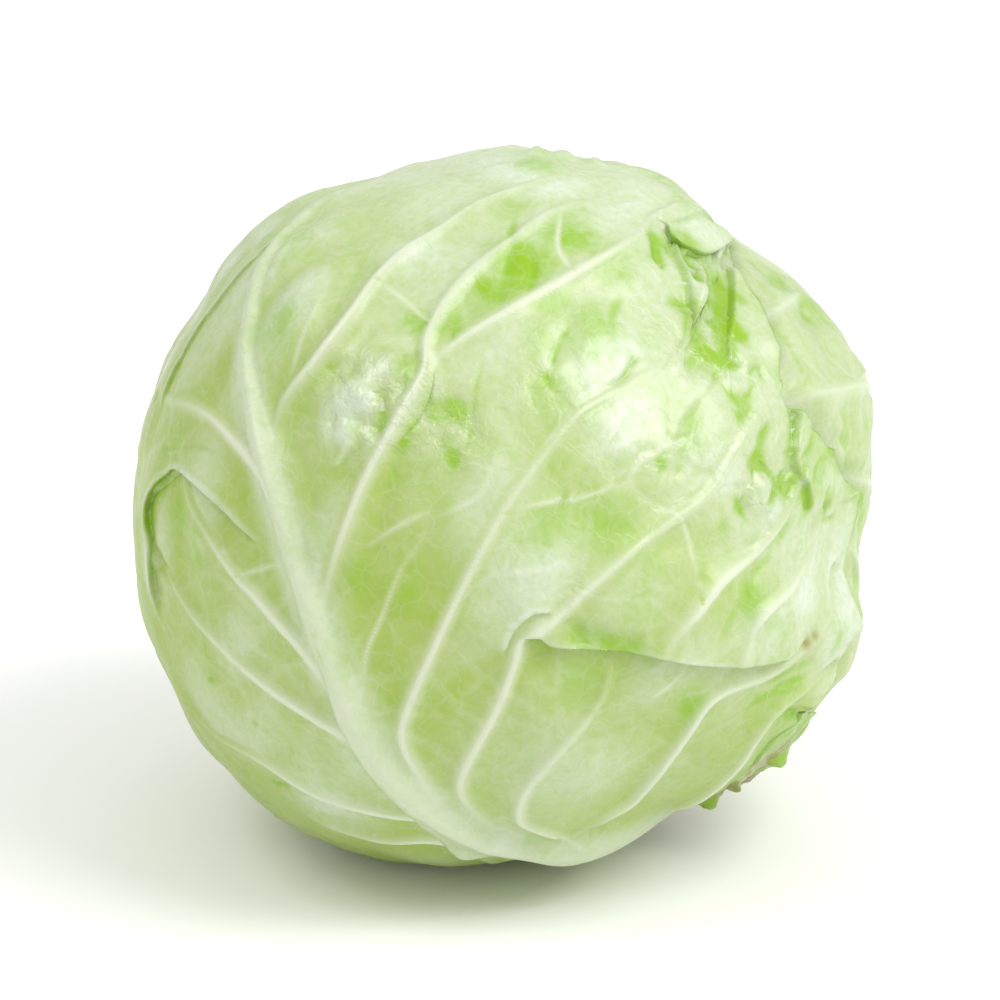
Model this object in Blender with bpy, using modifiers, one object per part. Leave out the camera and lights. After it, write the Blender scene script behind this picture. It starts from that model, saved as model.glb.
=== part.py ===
"""A green cabbage head as trimmed for sale: wrapper leaves, one over another, round a dense heart, and the
cut stump. It lies on its side leaves with the stump turned down and to the right.

Sizes are in millimetres, turned to metres as a mesh is finished. The origin is the middle of the small flat
spot that the head rests on."""

import math

import bmesh
import bpy
import numpy as np

MM = 0.001

# The head, with its middle straight above the flat spot
HEAD_RADIUS = 88.0
REST_HEIGHT = 84.0
FLAT_SNAP = 0.3  # what lies this close above the flat spot is part of it

# The front view looks along +Y and this far down, from this far away
VIEW_TILT = math.radians(20)
VIEW_DISTANCE = 1300.0

# The head's outline in the front view: degrees from the right, counterclockwise, and its radius
OUTLINE = [
    (0, 88.5), (20, 93), (33, 90), (50, 84.5), (62, 88), (80, 88), (105, 87), (132, 90.5), (150, 88.5),
    (180, 89.5), (205, 91), (232, 92.5), (250, 91), (270, 86.5), (282, 88.5), (300, 85.5), (322, 91),
    (340, 92), (350, 86.5),
]

# The stump's axis, which points out of the head
STEM_LEAN = math.radians(27.6)  # from straight down
STEM_TURN = math.radians(16)  # about the vertical, from +X
STEM_RADIUS = 15.0
STEM_ROOT_RADIUS = 13.0
STEM_FACE = 84.0  # distance of the cut face from the head's middle
STEM_ROOT = 68.0
STEM_SEAT = 66.5  # bottom of the hollow in the heart that the stump grows from
STEM_BEVEL = 1.2
STEM_CLEAR = 11.6  # degrees from its axis at which the leaves end
DIMPLE_DEPTH = 5.0  # of the hollow round the stump, over this angle
DIMPLE_ANGLE = math.radians(20)
SEAT_ANGLES = math.radians(22), math.radians(15)  # where the heart's hollow begins and reaches its bottom

# The leaves lie one pitch apart, and a leaf rises to the surface this far past the edge of the one over it
LEAF_THICKNESS = 0.75
LAYER_PITCH = 1.9
EDGE_RISE = 14.0
HEART_DEPTH = 8.8

# Ribs: half width at the root and at the tip, height at the root and at the tip
FRONT_MIDRIB = (9.0, 2.8, 5.5, 1.6)
FRONT_SIDE_RIB = (3.6, 2.4, 2.4, 1.1)
PLAIN_MIDRIB = (8.5, 3.0, 4.6, 1.4)
PLAIN_SIDE_RIB = (3.8, 2.6, 2.2, 1.0)
WRINKLE = (2.6, 1.8, 2.0, 1.2)

# Ribs of the leaves that the front view hides, in radians round the head
RIB_PAIRS = 7
RIB_SPREAD = 1.12  # how far a side rib reaches from the midrib
RIB_SWEEP = (0.25, 0.55)  # how far it runs towards the tip, evenly and more and more
RIB_SWAY = (0.06, 1.7, 0.5)  # the midrib's bend, its waves and its start

# Buckles: height and the reach over which they die out
RIGHT_BUCKLE = (3.4, 22.0)
LEFT_BUCKLE = (2.4, 10.0)
HEM = 9.0  # breadth of the strip along an edge that waves

# Shallow lobes of a leaf's edge: how many round the leaf, share of the depth, start
LOBES = ((23, 1.0, 1.0), (37, 0.6, 2.0), (61, 0.4, 0.0))

RIGHT = np.array((1.0, 0.0, 0.0))
UP = np.array((0.0, math.sin(VIEW_TILT), math.cos(VIEW_TILT)))
FRONT = np.array((0.0, -math.cos(VIEW_TILT), math.sin(VIEW_TILT)))
STEM = np.array((
    math.sin(STEM_LEAN) * math.cos(STEM_TURN),
    math.sin(STEM_LEAN) * math.sin(STEM_TURN),
    -math.cos(STEM_LEAN),
))


def unit(vectors):
    return vectors / np.linalg.norm(vectors, axis=-1, keepdims=True)


def smooth_line(points, steps=6, closed=False):
    """Points on a smooth curve through the given ones."""
    points = np.array(points, float)
    if closed:
        ring = np.concatenate([points[-1:], points, points[:2]])
    else:
        ring = np.concatenate([2 * points[:1] - points[1:2], points, 2 * points[-1:] - points[-2:-1]])
    share = np.arange(steps)[:, None] / steps
    curve = []
    for a, b, c, d in zip(ring, ring[1:], ring[2:], ring[3:]):
        bend = (2 * a - 5 * b + 4 * c - d) * share**2 + (3 * b - a - 3 * c + d) * share**3
        curve.append(b + 0.5 * ((c - a) * share + bend))
    if not closed:
        curve.append(points[-1:])
    return np.concatenate(curve)


def smooth_step(low, high, values):
    share = np.clip((values - low) / (high - low), 0, 1)
    return share * share * (3 - 2 * share)


def outline(angles):
    """The front view's outline radius at the given angles in radians."""
    loop = smooth_line(OUTLINE + [(OUTLINE[0][0] + 360, OUTLINE[0][1])])
    return np.interp(np.degrees(angles) % 360, loop[:, 0], loop[:, 1])


def seen(points):
    """Directions from the head's middle to points seen in the front view, in mm right of and above it. Past
    the knee, just inside the outline, the distance runs on round the back."""
    across, up = np.array(points, float).T
    angle = np.arctan2(up, across)
    share = np.hypot(across, up) / outline(angle)
    knee = 0.96
    near_eye = HEAD_RADIUS / VIEW_DISTANCE
    inside = np.minimum(share, knee)
    turn = np.arcsin(inside / np.sqrt(1 + (inside * near_eye) ** 2)) - np.arctan(inside * near_eye)
    turn = turn + (share - inside) * (1 / math.sqrt(1 - knee**2) - near_eye)
    flat = np.cos(angle)[:, None] * RIGHT + np.sin(angle)[:, None] * UP
    return np.sin(turn)[:, None] * flat + np.cos(turn)[:, None] * FRONT


def line_seen(points):
    return unit(smooth_line(seen(points)))


def head_radius(directions):
    """Distance from the head's middle to its surface, before leaves and ribs."""
    across, up, front = directions @ RIGHT, directions @ UP, directions @ FRONT
    rim = 1 - front**2
    radius = HEAD_RADIUS + (outline(np.arctan2(up, across)) - HEAD_RADIUS) * rim
    radius += 0.7 * np.sin(3.1 * across + 2.2 * up + 0.6) * np.sin(2.7 * front - 1.9 * up)
    from_stem = np.arccos(np.clip(directions @ STEM, -1, 1))
    return radius - DIMPLE_DEPTH * np.exp(-((from_stem / DIMPLE_ANGLE) ** 2))


def near(directions, line):
    """For each direction: its distance in mm from a line on the head, the share of the line's length where it
    is nearest, and its side, which is positive on the left of the line seen from outside."""
    steps = np.diff(line, axis=0)
    lengths = np.linalg.norm(steps, axis=1)
    run = np.concatenate([[0], np.cumsum(lengths)])
    best = np.full(len(directions), np.inf)
    share, side = np.zeros(len(directions)), np.zeros(len(directions))
    for start, step, length, before in zip(line, steps, lengths, run):
        offset = directions - start
        along = np.clip(offset @ step / length**2, 0, 1)
        gap = np.linalg.norm(offset - along[:, None] * step, axis=1)
        closer = gap < best
        best[closer] = gap[closer]
        share[closer] = (before + along[closer] * length) / run[-1]
        side[closer] = np.sign(np.cross(step, offset[closer]) @ start)
    return best * HEAD_RADIUS, share, side


def rib(directions, line, form):
    """Height of a tapering rib with a rounded top along a line."""
    root_width, tip_width, root_height, tip_height = form
    gap, share, _ = near(directions, line)
    width = root_width + (tip_width - root_width) * share
    height = root_height + (tip_height - root_height) * share
    return height * np.clip(1 - (gap / width) ** 2, 0, 1) ** 2


def buckle(directions, line, height, reach, ramp=2.5):
    """Height of a buckle: a step up on the line's left that dies out over its reach and at both ends."""
    gap, share, side = near(directions, line)
    ends = smooth_step(0, 0.15, share) * smooth_step(1, 0.8, share)
    step = smooth_step(-ramp, ramp, gap * side)
    return height * ends * (step * np.exp(-gap / reach) - 0.3 * (1 - step) * np.exp(-gap / (0.5 * reach)))


def swell(directions, point, radius, height):
    """Height of a soft bump round a point seen in the front view."""
    gap = np.linalg.norm(directions - seen([point]), axis=1) * HEAD_RADIUS
    return height * np.exp(-((gap / radius) ** 2))


class Leaf:
    """A leaf laid over the head round its middle direction, with its tip pointing away from the stump. Its
    edge is a loop of directions; `over` are the leaves that lie over it."""

    def __init__(self, middle, edge, ruffle, over):
        self.middle = unit(np.array(middle, float))
        self.tip = unit(self.middle * (self.middle @ STEM) - STEM)
        self.left = np.cross(self.middle, self.tip)
        self.ruffle = ruffle
        self.over = over
        angle, reach = self.polar(edge(self))
        order = np.argsort(angle)
        self.angles, self.reaches = angle[order], reach[order]

    def polar(self, directions):
        """Angle about the leaf's middle, from its tip to the left, and distance from it in radians."""
        angle = np.arctan2(directions @ self.left, directions @ self.tip)
        return angle, np.arccos(np.clip(directions @ self.middle, -1, 1))

    def direction(self, angle, distance):
        flat = np.cos(angle)[..., None] * self.tip + np.sin(angle)[..., None] * self.left
        return np.sin(distance)[..., None] * flat + np.cos(distance)[..., None] * self.middle

    def reach(self, angle):
        """Distance to the edge, which is cut into shallow lobes."""
        reach = np.interp(angle, self.angles, self.reaches, period=2 * math.pi)
        lobes = sum(share * np.sin(count * angle + start) for count, share, start in LOBES)
        return reach + self.ruffle / HEAD_RADIUS * lobes

    def cover(self, directions):
        """1 under the leaf, and down to 0 a little way outside its edge."""
        angle, distance = self.polar(directions)
        outside = (distance - self.reach(angle)) * HEAD_RADIUS
        return smooth_step(EDGE_RISE, 1.0, outside)

    def covers(self, directions):
        return sum((leaf.cover(directions) for leaf in self.over), np.zeros(len(directions)))

    def bare(self, directions):
        """1 where nothing lies over the leaf."""
        return np.prod([1 - leaf.cover(directions) for leaf in self.over] + [np.ones(len(directions))], axis=0)

    def edge_wave(self, directions, height, waves):
        """Height of the waves that the edge rises and falls in, outwards only."""
        angle, distance = self.polar(directions)
        inside = (self.reach(angle) - distance) * HEAD_RADIUS
        wave = 0.5 + 0.5 * np.sin(waves * angle + 2 * np.sin(3 * angle))
        return height * wave * np.exp(-np.maximum(inside, 0) / HEM)


def plain_edge(tip, side, shoulder):
    """Edge of a leaf at its tip, sides and shoulders, in degrees from its middle. Its base ends at the stump."""

    def edge(leaf):
        base = math.degrees(math.acos(leaf.middle @ STEM)) - STEM_CLEAR
        half = [(0, tip), (35, tip), (70, side), (105, side), (135, shoulder), (160, base + 2), (172, base)]
        loop = half + [(360 - angle, reach) for angle, reach in half[:0:-1]]
        angle, reach = np.radians(loop).T
        flat = smooth_line(np.stack([reach * np.cos(angle), reach * np.sin(angle)], axis=1), closed=True)
        return leaf.direction(np.arctan2(flat[:, 1], flat[:, 0]), np.hypot(flat[:, 0], flat[:, 1]))

    return edge


def edge_seen(points):
    """Edge of a leaf given as points of the front view."""
    return lambda leaf: unit(smooth_line(seen(points), closed=True))


def plain_ribs(leaf):
    """Lines of a leaf's midrib and side ribs, which leave it by turns left and right and sweep to the tip."""
    base, tip = leaf.reach(np.array([math.pi, 0.0]))
    bend, waves, start = RIB_SWAY
    even, more = RIB_SWEEP

    def at(along, aside):
        aside = aside + bend * np.sin(along * waves + start)
        return leaf.direction(np.arctan2(aside, along), np.hypot(along, aside))

    run = np.linspace(0, 1, 9)
    side_ribs = []
    for number in range(2 * RIB_PAIRS):
        side = 1 if number % 2 else -1
        root = (base + 0.62 * tip) * number / (2 * RIB_PAIRS) - 0.86 * base
        spread = RIB_SPREAD * run**0.85 * math.cos(0.6 * root)
        side_ribs.append(at(root + even * run + more * run**1.6, side * spread))
    return at(np.linspace(-base, 0.93 * tip, 14), 0.0), side_ribs


# Lines on the front leaf, as mm right of and above the middle in the front view
FRONT_MIDRIB_LINE = [
    (46, -84), (38, -79), (25, -82), (11, -83), (-2, -80), (-15, -74), (-26, -66), (-34, -56), (-39, -46),
    (-44, -35), (-48, -23), (-52, -11), (-55, 1), (-58, 13), (-61, 26), (-62, 38), (-61, 49), (-58, 58),
    (-53, 66), (-46, 73), (-37, 79), (-27, 85),
]
FRONT_RIB_LINES = [
    [(-56, 17), (-53, 26), (-45, 36), (-37, 47), (-30, 56), (-23, 62), (-15, 67), (-6, 73), (8, 79), (25, 83)],
    [(-45, -33), (-44, -22), (-37, -2), (-32, 9), (-23, 26), (-18, 34), (-17, 43), (-8, 56), (3, 65), (15, 73),
     (31, 76)],
    [(-16, 36), (-7, 42), (3, 48), (18, 57), (32, 65), (38, 72)],
    [(-15, -69), (-21, -64), (-24, -57), (-23, -50), (-17, -36), (-9, -19), (0, -2), (6, 7), (17, 21), (24, 26),
     (34, 32), (47, 39)],
    [(-3, -76), (-10, -70), (-9, -64), (0, -46), (5, -33), (8, -28), (13, -25), (20, -20), (34, -8), (50, 3),
     (57, 12), (66, 24), (72, 28)],
    [(15, -78), (4, -74), (6, -68), (13, -60), (24, -46), (26, -34), (36, -33), (49, -23), (62, -9), (73, 4),
     (73, 11)],
    [(20, -78), (27, -74), (33, -69), (45, -54), (53, -46), (68, -40), (78, -31), (81, -15)],
    [(49, -68), (56, -64), (67, -50), (80, -39)],
    [(60, -34), (64, -25), (73, -13), (75, -5)],
    [(-53, -5), (-58, 8), (-65, 17), (-73, 24), (-84, 28)],
    [(-44, -45), (-48, -35), (-59, -23), (-65, -17), (-70, -10), (-77, 4), (-80, 9)],
    [(-31, -65), (-42, -54), (-58, -43), (-72, -30), (-82, -15), (-85, -7)],
    [(-17, -77), (-24, -74), (-44, -70), (-59, -61), (-75, -51)],
    [(-7, -82), (-17, -80), (-30, -81), (-50, -74)],
]
RIGHT_BUCKLE_LINE = [
    (1, -32), (9, -25), (13, -26), (24, -31), (36, -33), (49, -36), (59, -37), (69, -35), (77, -30),
]
LEFT_BUCKLE_LINE = [
    (-83, -30), (-84, -13), (-86, -1), (-85, 4), (-82, 8), (-79, 10), (-73, 6), (-65, -3), (-58, -13),
]
WRINKLE_LINES = [
    [(55, 55), (55, 46), (55, 38), (57, 30)],
    [(48, 59), (47, 50), (46, 41), (42, 36)],
    [(42, 67), (43, 60), (44, 53)],
    [(63, 0), (70, 1), (74, 8), (77, 17)],
    [(74, 20), (80, 14), (84, 6), (87, -2)],
    [(71, 1), (74, -6), (78, -10)],
    [(79, 4), (80, -3), (78, -9)],
]

# The front leaf's edge, with the part round the back past the outline
FRONT_EDGE = [
    (86, 2), (81, 12), (74, 23), (70, 31), (63, 49), (54, 58), (52, 63), (51, 68), (45, 76), (30, 84), (19, 90),
    (0, 93), (-25, 92), (-49, 84), (-75, 63), (-91, 33), (-100, 0), (-98, -36), (-84, -71), (-57, -99),
    (-30, -110), (0, -109), (23, -107), (34, -92), (47, -84), (50, -80), (54, -72), (62, -65), (71, -57),
    (77, -53), (76, -49), (80, -46), (81, -39), (84, -33), (84, -20), (83, -13),
]
# The torn leaf's edge
TORN_EDGE = [
    (50, -81), (56, -78), (62, -75), (68, -72), (76, -66), (83, -60), (79, -51), (70, -51), (61, -57), (54, -64),
    (48, -71), (46, -77),
]
TORN_LIFT = 5.0  # height at which it stands away from the head


def front_relief(leaf, directions):
    """Ribs, buckles and crumpled edge of the front leaf."""
    height = rib(directions, line_seen(FRONT_MIDRIB_LINE), FRONT_MIDRIB)
    for line in FRONT_RIB_LINES:
        height = np.maximum(height, rib(directions, line_seen(line), FRONT_SIDE_RIB))
    height += buckle(directions, line_seen(RIGHT_BUCKLE_LINE), *RIGHT_BUCKLE)
    height += buckle(directions, line_seen(LEFT_BUCKLE_LINE), *LEFT_BUCKLE)
    for line in WRINKLE_LINES:
        height = np.maximum(height, rib(directions, line_seen(line), WRINKLE))
    height += swell(directions, (46, 70), 11, 2.5) + swell(directions, (78, 6), 10, 1.5)
    return np.maximum(height + leaf.edge_wave(directions, 1.6, 19), 0)


def plain_relief(leaf, directions):
    """Ribs and waved edge of a leaf that the front view hides."""
    midrib, side_ribs = plain_ribs(leaf)
    height = rib(directions, midrib, PLAIN_MIDRIB)
    for line in side_ribs:
        height = np.maximum(height, rib(directions, line, PLAIN_SIDE_RIB))
    return height + leaf.edge_wave(directions, 2.6, 17)


def torn_relief(leaf, directions):
    """The torn leaf stands away from the head towards its ragged end, which waves."""
    angle, distance = leaf.polar(directions)
    towards_tip = 0.5 + 0.5 * np.cos(angle) * distance / leaf.reach(angle)
    return TORN_LIFT * towards_tip * (0.8 + 0.2 * np.sin(7 * angle))


def lay(directions, depth, relief=0.0):
    """Distance from the head's middle this deep below its surface, pressed flat where it rests."""
    down = np.maximum(-directions[:, 2], 1e-6)
    return np.minimum(head_radius(directions) - depth + relief, (REST_HEIGHT - depth) / down)


def material(name, colour, roughness):
    made = bpy.data.materials.new(name)
    made.use_nodes = True
    shader = made.node_tree.nodes["Principled BSDF"]
    shader.inputs["Base Color"].default_value = (*colour, 1)
    shader.inputs["Roughness"].default_value = roughness
    shader.inputs["Metallic"].default_value = 0
    made.diffuse_color = (*colour, 1)
    return made


def add_object(name, mesh, finish):
    made = bpy.data.objects.new(name, mesh)
    head.objects.link(made)
    mesh.materials.append(finish)
    mesh.shade_smooth()
    mesh.set_sharp_from_angle(angle=math.radians(50))
    return made


def add_leaf(name, leaf, relief, finish, cells, faces):
    """A leaf: a square blank drawn out to the leaf's edge, laid over the head, thinned out to about so many
    faces where it is smooth, and given its thickness inwards."""
    shape = bmesh.new()
    bmesh.ops.create_grid(shape, x_segments=cells, y_segments=cells, size=1)
    blank = np.array([vertex.co for vertex in shape.verts])
    x = blank[:, 0] * np.sqrt(1 - blank[:, 1] ** 2 / 2)
    y = blank[:, 1] * np.sqrt(1 - blank[:, 0] ** 2 / 2)
    angle = np.arctan2(y, x)
    directions = leaf.direction(angle, np.hypot(x, y) * leaf.reach(angle))
    depth = LAYER_PITCH * leaf.covers(directions)
    radius = lay(directions, depth, relief(leaf, directions) * leaf.bare(directions))
    for vertex, direction, distance in zip(shape.verts, directions, radius):
        vertex.co = direction * distance + (0, 0, REST_HEIGHT)
    bmesh.ops.triangulate(shape, faces=shape.faces)
    share = faces / len(shape.faces)
    fine = bpy.data.meshes.new(name + "_fine")
    shape.to_mesh(fine)
    shape.free()

    guide = bpy.data.objects.new(name + "_fine", fine)
    head.objects.link(guide)
    guide.modifiers.new("Thin out", "DECIMATE").ratio = share
    depsgraph = bpy.context.evaluated_depsgraph_get()
    mesh = bpy.data.meshes.new_from_object(guide.evaluated_get(depsgraph))
    mesh.name = name
    bpy.data.objects.remove(guide)
    bpy.data.meshes.remove(fine)
    for vertex in mesh.vertices:
        if vertex.co.z < FLAT_SNAP:
            vertex.co.z = 0
        vertex.co *= MM

    made = add_object(name, mesh, finish)
    skin = made.modifiers.new("Blade", "SOLIDIFY")
    skin.thickness = LEAF_THICKNESS * MM
    skin.offset = -1
    return made


def add_heart(finish):
    """The dense inner head, hollowed where the stump grows from it."""
    shape = bmesh.new()
    bmesh.ops.create_icosphere(shape, subdivisions=4, radius=1)
    directions = unit(np.array([vertex.co for vertex in shape.verts]))
    from_stem = np.arccos(np.clip(directions @ STEM, -1, 1))
    seat = smooth_step(*SEAT_ANGLES, from_stem)
    radius = lay(directions, HEART_DEPTH)
    radius += (STEM_SEAT - radius) * seat
    for vertex, direction, distance in zip(shape.verts, directions, radius):
        vertex.co = (direction * distance + (0, 0, REST_HEIGHT)) * MM
    mesh = bpy.data.meshes.new("heart")
    shape.to_mesh(mesh)
    shape.free()
    return add_object("heart", mesh, finish)


def add_stem(finish):
    """The stump: a short piece of a cone along its axis, widest at the cut face, with worn rims."""
    shape = bmesh.new()
    bmesh.ops.create_cone(
        shape, cap_ends=True, segments=28, radius1=STEM_ROOT_RADIUS, radius2=STEM_RADIUS,
        depth=STEM_FACE - STEM_ROOT,
    )
    rims = [edge for edge in shape.edges if abs(edge.verts[0].co.z - edge.verts[1].co.z) < FLAT_SNAP]
    bmesh.ops.bevel(
        shape, geom=rims, offset=STEM_BEVEL, segments=2, profile=0.5, affect="EDGES", material=-1,
    )
    side = unit(np.cross(STEM, UP))
    other = np.cross(STEM, side)
    for vertex in shape.verts:
        out = STEM * (vertex.co.z + (STEM_FACE + STEM_ROOT) / 2)
        vertex.co = (out + side * vertex.co.x + other * vertex.co.y + (0, 0, REST_HEIGHT)) * MM
    bmesh.ops.recalc_face_normals(shape, faces=shape.faces)
    mesh = bpy.data.meshes.new("stem")
    shape.to_mesh(mesh)
    shape.free()
    return add_object("stem", mesh, finish)


for thing in list(bpy.data.objects):
    bpy.data.objects.remove(thing)
head = bpy.data.collections.new("cabbage_head")
bpy.context.scene.collection.children.link(head)

outer_green = material("outer leaf", (0.50, 0.62, 0.28), 0.4)
under_green = material("under leaf", (0.44, 0.60, 0.24), 0.4)
heart_green = material("heart leaf", (0.62, 0.68, 0.40), 0.45)
cut_pale = material("cut stump", (0.70, 0.68, 0.50), 0.6)


def around(turn, from_crown):
    """Direction at degrees round the head from the front leaf, counterclockwise seen from the crown, and
    degrees down from the crown."""
    crown = -STEM
    ahead = unit(FRONT - crown * (FRONT @ crown))
    aside = np.cross(crown, ahead)
    turn, from_crown = math.radians(turn), math.radians(from_crown)
    return math.cos(from_crown) * crown + math.sin(from_crown) * (math.cos(turn) * ahead + math.sin(turn) * aside)


front_leaf = Leaf(seen([(-10, -28)])[0], edge_seen(FRONT_EDGE), 0.5, [])
torn_leaf = Leaf(seen([(63, -70)])[0], edge_seen(TORN_EDGE), 0.3, [front_leaf])
left_leaf = Leaf(around(-128, 80), plain_edge(88, 80, 86), 0.9, [front_leaf])
right_leaf = Leaf(around(98, 78), plain_edge(86, 80, 86), 0.9, [front_leaf, torn_leaf, left_leaf])
back_leaf = Leaf(around(178, 62), plain_edge(80, 84, 92), 0.9, [front_leaf, torn_leaf, left_leaf, right_leaf])

add_leaf("leaf_front", front_leaf, front_relief, outer_green, 120, 4000)
add_leaf("leaf_left", left_leaf, plain_relief, outer_green, 76, 950)
add_leaf("leaf_right", right_leaf, plain_relief, under_green, 76, 850)
add_leaf("leaf_back", back_leaf, plain_relief, under_green, 76, 700)
add_leaf("leaf_torn", torn_leaf, torn_relief, under_green, 26, 180)
add_heart(heart_green)
add_stem(cut_pale)
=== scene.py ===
"""The looks of a green cabbage head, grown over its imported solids: a dense heart, a cut stump and the wrapper
leaves round them, one over another, with their ribs, veins, folds and torn margins.

Sizes are in millimetres, turned to metres as a mesh is finished."""

import math
from functools import partial

import bmesh
import bpy
import numpy as np
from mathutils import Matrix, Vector


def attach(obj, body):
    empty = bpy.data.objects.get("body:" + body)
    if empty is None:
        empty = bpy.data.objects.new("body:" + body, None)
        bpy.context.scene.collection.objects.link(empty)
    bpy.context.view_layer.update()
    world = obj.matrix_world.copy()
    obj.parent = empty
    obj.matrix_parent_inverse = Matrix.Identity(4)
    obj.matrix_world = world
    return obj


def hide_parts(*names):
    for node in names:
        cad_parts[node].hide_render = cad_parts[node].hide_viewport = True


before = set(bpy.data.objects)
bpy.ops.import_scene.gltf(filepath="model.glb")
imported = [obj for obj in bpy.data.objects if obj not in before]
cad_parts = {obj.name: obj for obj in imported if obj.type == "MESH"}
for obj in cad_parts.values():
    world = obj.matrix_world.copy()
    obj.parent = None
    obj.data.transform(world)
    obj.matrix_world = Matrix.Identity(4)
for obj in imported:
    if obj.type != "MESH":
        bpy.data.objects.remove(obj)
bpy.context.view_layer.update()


# The heart: the dense inner head of pale young leaves, wrapped tight round one another as they grew from the
# stump. The wrapper leaves hide it, but for its foot in the narrow ring round the cut.
MM = 0.001
HEAD_RADIUS = 88.0
REST_HEIGHT = 84.0
VIEW_TILT = math.radians(20)  # the front view looks this far down
VIEW_DISTANCE = 1300.0
HEAD_OUTLINE = [
    (0, 88.5), (20, 93), (33, 90), (50, 84.5), (62, 88), (80, 88), (105, 87), (132, 90.5), (150, 88.5),
    (180, 89.5), (205, 91), (232, 92.5), (250, 91), (270, 86.5), (282, 88.5), (300, 85.5), (322, 91),
    (340, 92), (350, 86.5),
]  # degrees from the right in the front view, counterclockwise, and the radius there
STUMP_LEAN = math.radians(27.6)
STUMP_TURN = math.radians(16)
DIMPLE_DEPTH = 5.0  # of the hollow round the stump
DIMPLE_ANGLE = math.radians(20)
HEART_DEPTH = 8.9
HEART_SEAT = 66.5  # the heart's distance from the head's middle where the stump goes in
SEAT_ANGLES = math.radians(22), math.radians(15)
HEART_FOLDS = [(0.4, 2.6), (2.5, 2.2), (4.5, 2.9)]  # where a young leaf's edge starts, and how steep it winds
YOUNG_EDGE = 0.9  # height of the step at a young leaf's edge
YOUNG_PUCKER = 0.25
YOUNG_PUCKER_SIZE = 9
UNEVENNESS = 0.7  # height of the head's broad swells

RIGHT = np.array((1.0, 0.0, 0.0))
UP = np.array((0.0, math.sin(VIEW_TILT), math.cos(VIEW_TILT)))
FRONT = np.array((0.0, -math.cos(VIEW_TILT), math.sin(VIEW_TILT)))
STUMP = np.array((
    math.sin(STUMP_LEAN) * math.cos(STUMP_TURN),
    math.sin(STUMP_LEAN) * math.sin(STUMP_TURN),
    -math.cos(STUMP_LEAN),
))


def unit(vectors):
    """Vectors made one long. Below, rays are such vectors from the head's middle."""
    return vectors / np.linalg.norm(vectors, axis=-1, keepdims=True)


def smooth_line(points, steps=6, closed=False):
    """Points on a smooth curve through the given ones."""
    points = np.array(points, float)
    if closed:
        ring = np.concatenate([points[-1:], points, points[:2]])
    else:
        ring = np.concatenate([2 * points[:1] - points[1:2], points, 2 * points[-1:] - points[-2:-1]])
    share = np.arange(steps)[:, None] / steps
    curve = []
    for a, b, c, d in zip(ring, ring[1:], ring[2:], ring[3:]):
        bend = (2 * a - 5 * b + 4 * c - d) * share**2 + (3 * b - a - 3 * c + d) * share**3
        curve.append(b + 0.5 * ((c - a) * share + bend))
    if not closed:
        curve.append(points[-1:])
    return np.concatenate(curve)


def ramp(low, high, values):
    """0 to 1 between the low and the high value, eased at both ends."""
    share = np.clip((values - low) / (high - low), 0, 1)
    return share * share * (3 - 2 * share)


def bell(gap, breadth):
    """1 where the gap is nothing, dying out on both sides over this breadth."""
    return np.exp(-((gap / breadth) ** 2))


def outline(angles):
    loop = smooth_line(HEAD_OUTLINE + [(HEAD_OUTLINE[0][0] + 360, HEAD_OUTLINE[0][1])])
    return np.interp(np.degrees(angles) % 360, loop[:, 0], loop[:, 1])


def stump_angle(rays):
    return np.arccos(np.clip(rays @ STUMP, -1, 1))


def head_radius(rays):
    """Distance from the head's middle to its surface, before leaves and ribs."""
    across, up, front = rays @ RIGHT, rays @ UP, rays @ FRONT
    rim = 1 - front**2
    radius = HEAD_RADIUS + (outline(np.arctan2(up, across)) - HEAD_RADIUS) * rim
    radius += UNEVENNESS * np.sin(3.1 * across + 2.2 * up + 0.6) * np.sin(2.7 * front - 1.9 * up)
    return radius - DIMPLE_DEPTH * bell(stump_angle(rays), DIMPLE_ANGLE)


def lay(rays, depth, relief=0.0):
    """Distance from the head's middle this deep below its surface, pressed flat where it rests."""
    down = np.maximum(-rays[:, 2], 1e-6)
    return np.minimum(head_radius(rays) - depth + relief, (REST_HEIGHT - depth) / down)


def ripple(rays, size, seed, waves=14):
    """Soft random relief from about -1 to 1, whose bumps are about this many mm across."""
    draw = np.random.default_rng(seed)
    runs = unit(draw.normal(size=(waves, 3))) * draw.uniform(0.7, 1.3, (waves, 1))
    starts = draw.uniform(0, 2 * math.pi, waves)
    turns = rays @ runs.T * (math.pi * HEAD_RADIUS / size) + starts
    return np.sin(turns).sum(axis=1) / math.sqrt(waves)


def linear(colour):
    """A #rrggbb screen colour as the shader's linear red, green, blue and alpha."""
    parts = [int(colour[place:place + 2], 16) / 255 for place in (1, 3, 5)]
    return (*[part / 12.92 if part <= 0.04045 else ((part + 0.055) / 1.055) ** 2.4 for part in parts], 1)


def link_up(finish, node, sources):
    """Links other nodes' outputs to a node's inputs."""
    for name, source in sources.items():
        finish.node_tree.links.new(source, node.inputs[name])


def add_node(finish, kind, settings, links=(), output=0):
    """One output of a new node with its settings and inputs set, and its inputs linked."""
    node = finish.node_tree.nodes.new("ShaderNode" + kind)
    for name, value in settings.items():
        if isinstance(name, int):
            node.inputs[name].default_value = value
        elif name in node.inputs:
            node.inputs[name].default_value = value
        else:
            setattr(node, name, value)
    link_up(finish, node, dict(links))
    return node.outputs[output]


def new_finish(name, colour, roughness):
    """A material, its Principled shader, and add_node for that material."""
    made = bpy.data.materials.new(name)
    made.use_nodes = True
    shader = made.node_tree.nodes["Principled BSDF"]
    shader.inputs["Base Color"].default_value = linear(colour)
    shader.inputs["Roughness"].default_value = roughness
    return made, shader, partial(add_node, made)


def per(size):
    """Scale at which a pattern repeats every so many mm."""
    return 1 / (size * MM)


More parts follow.
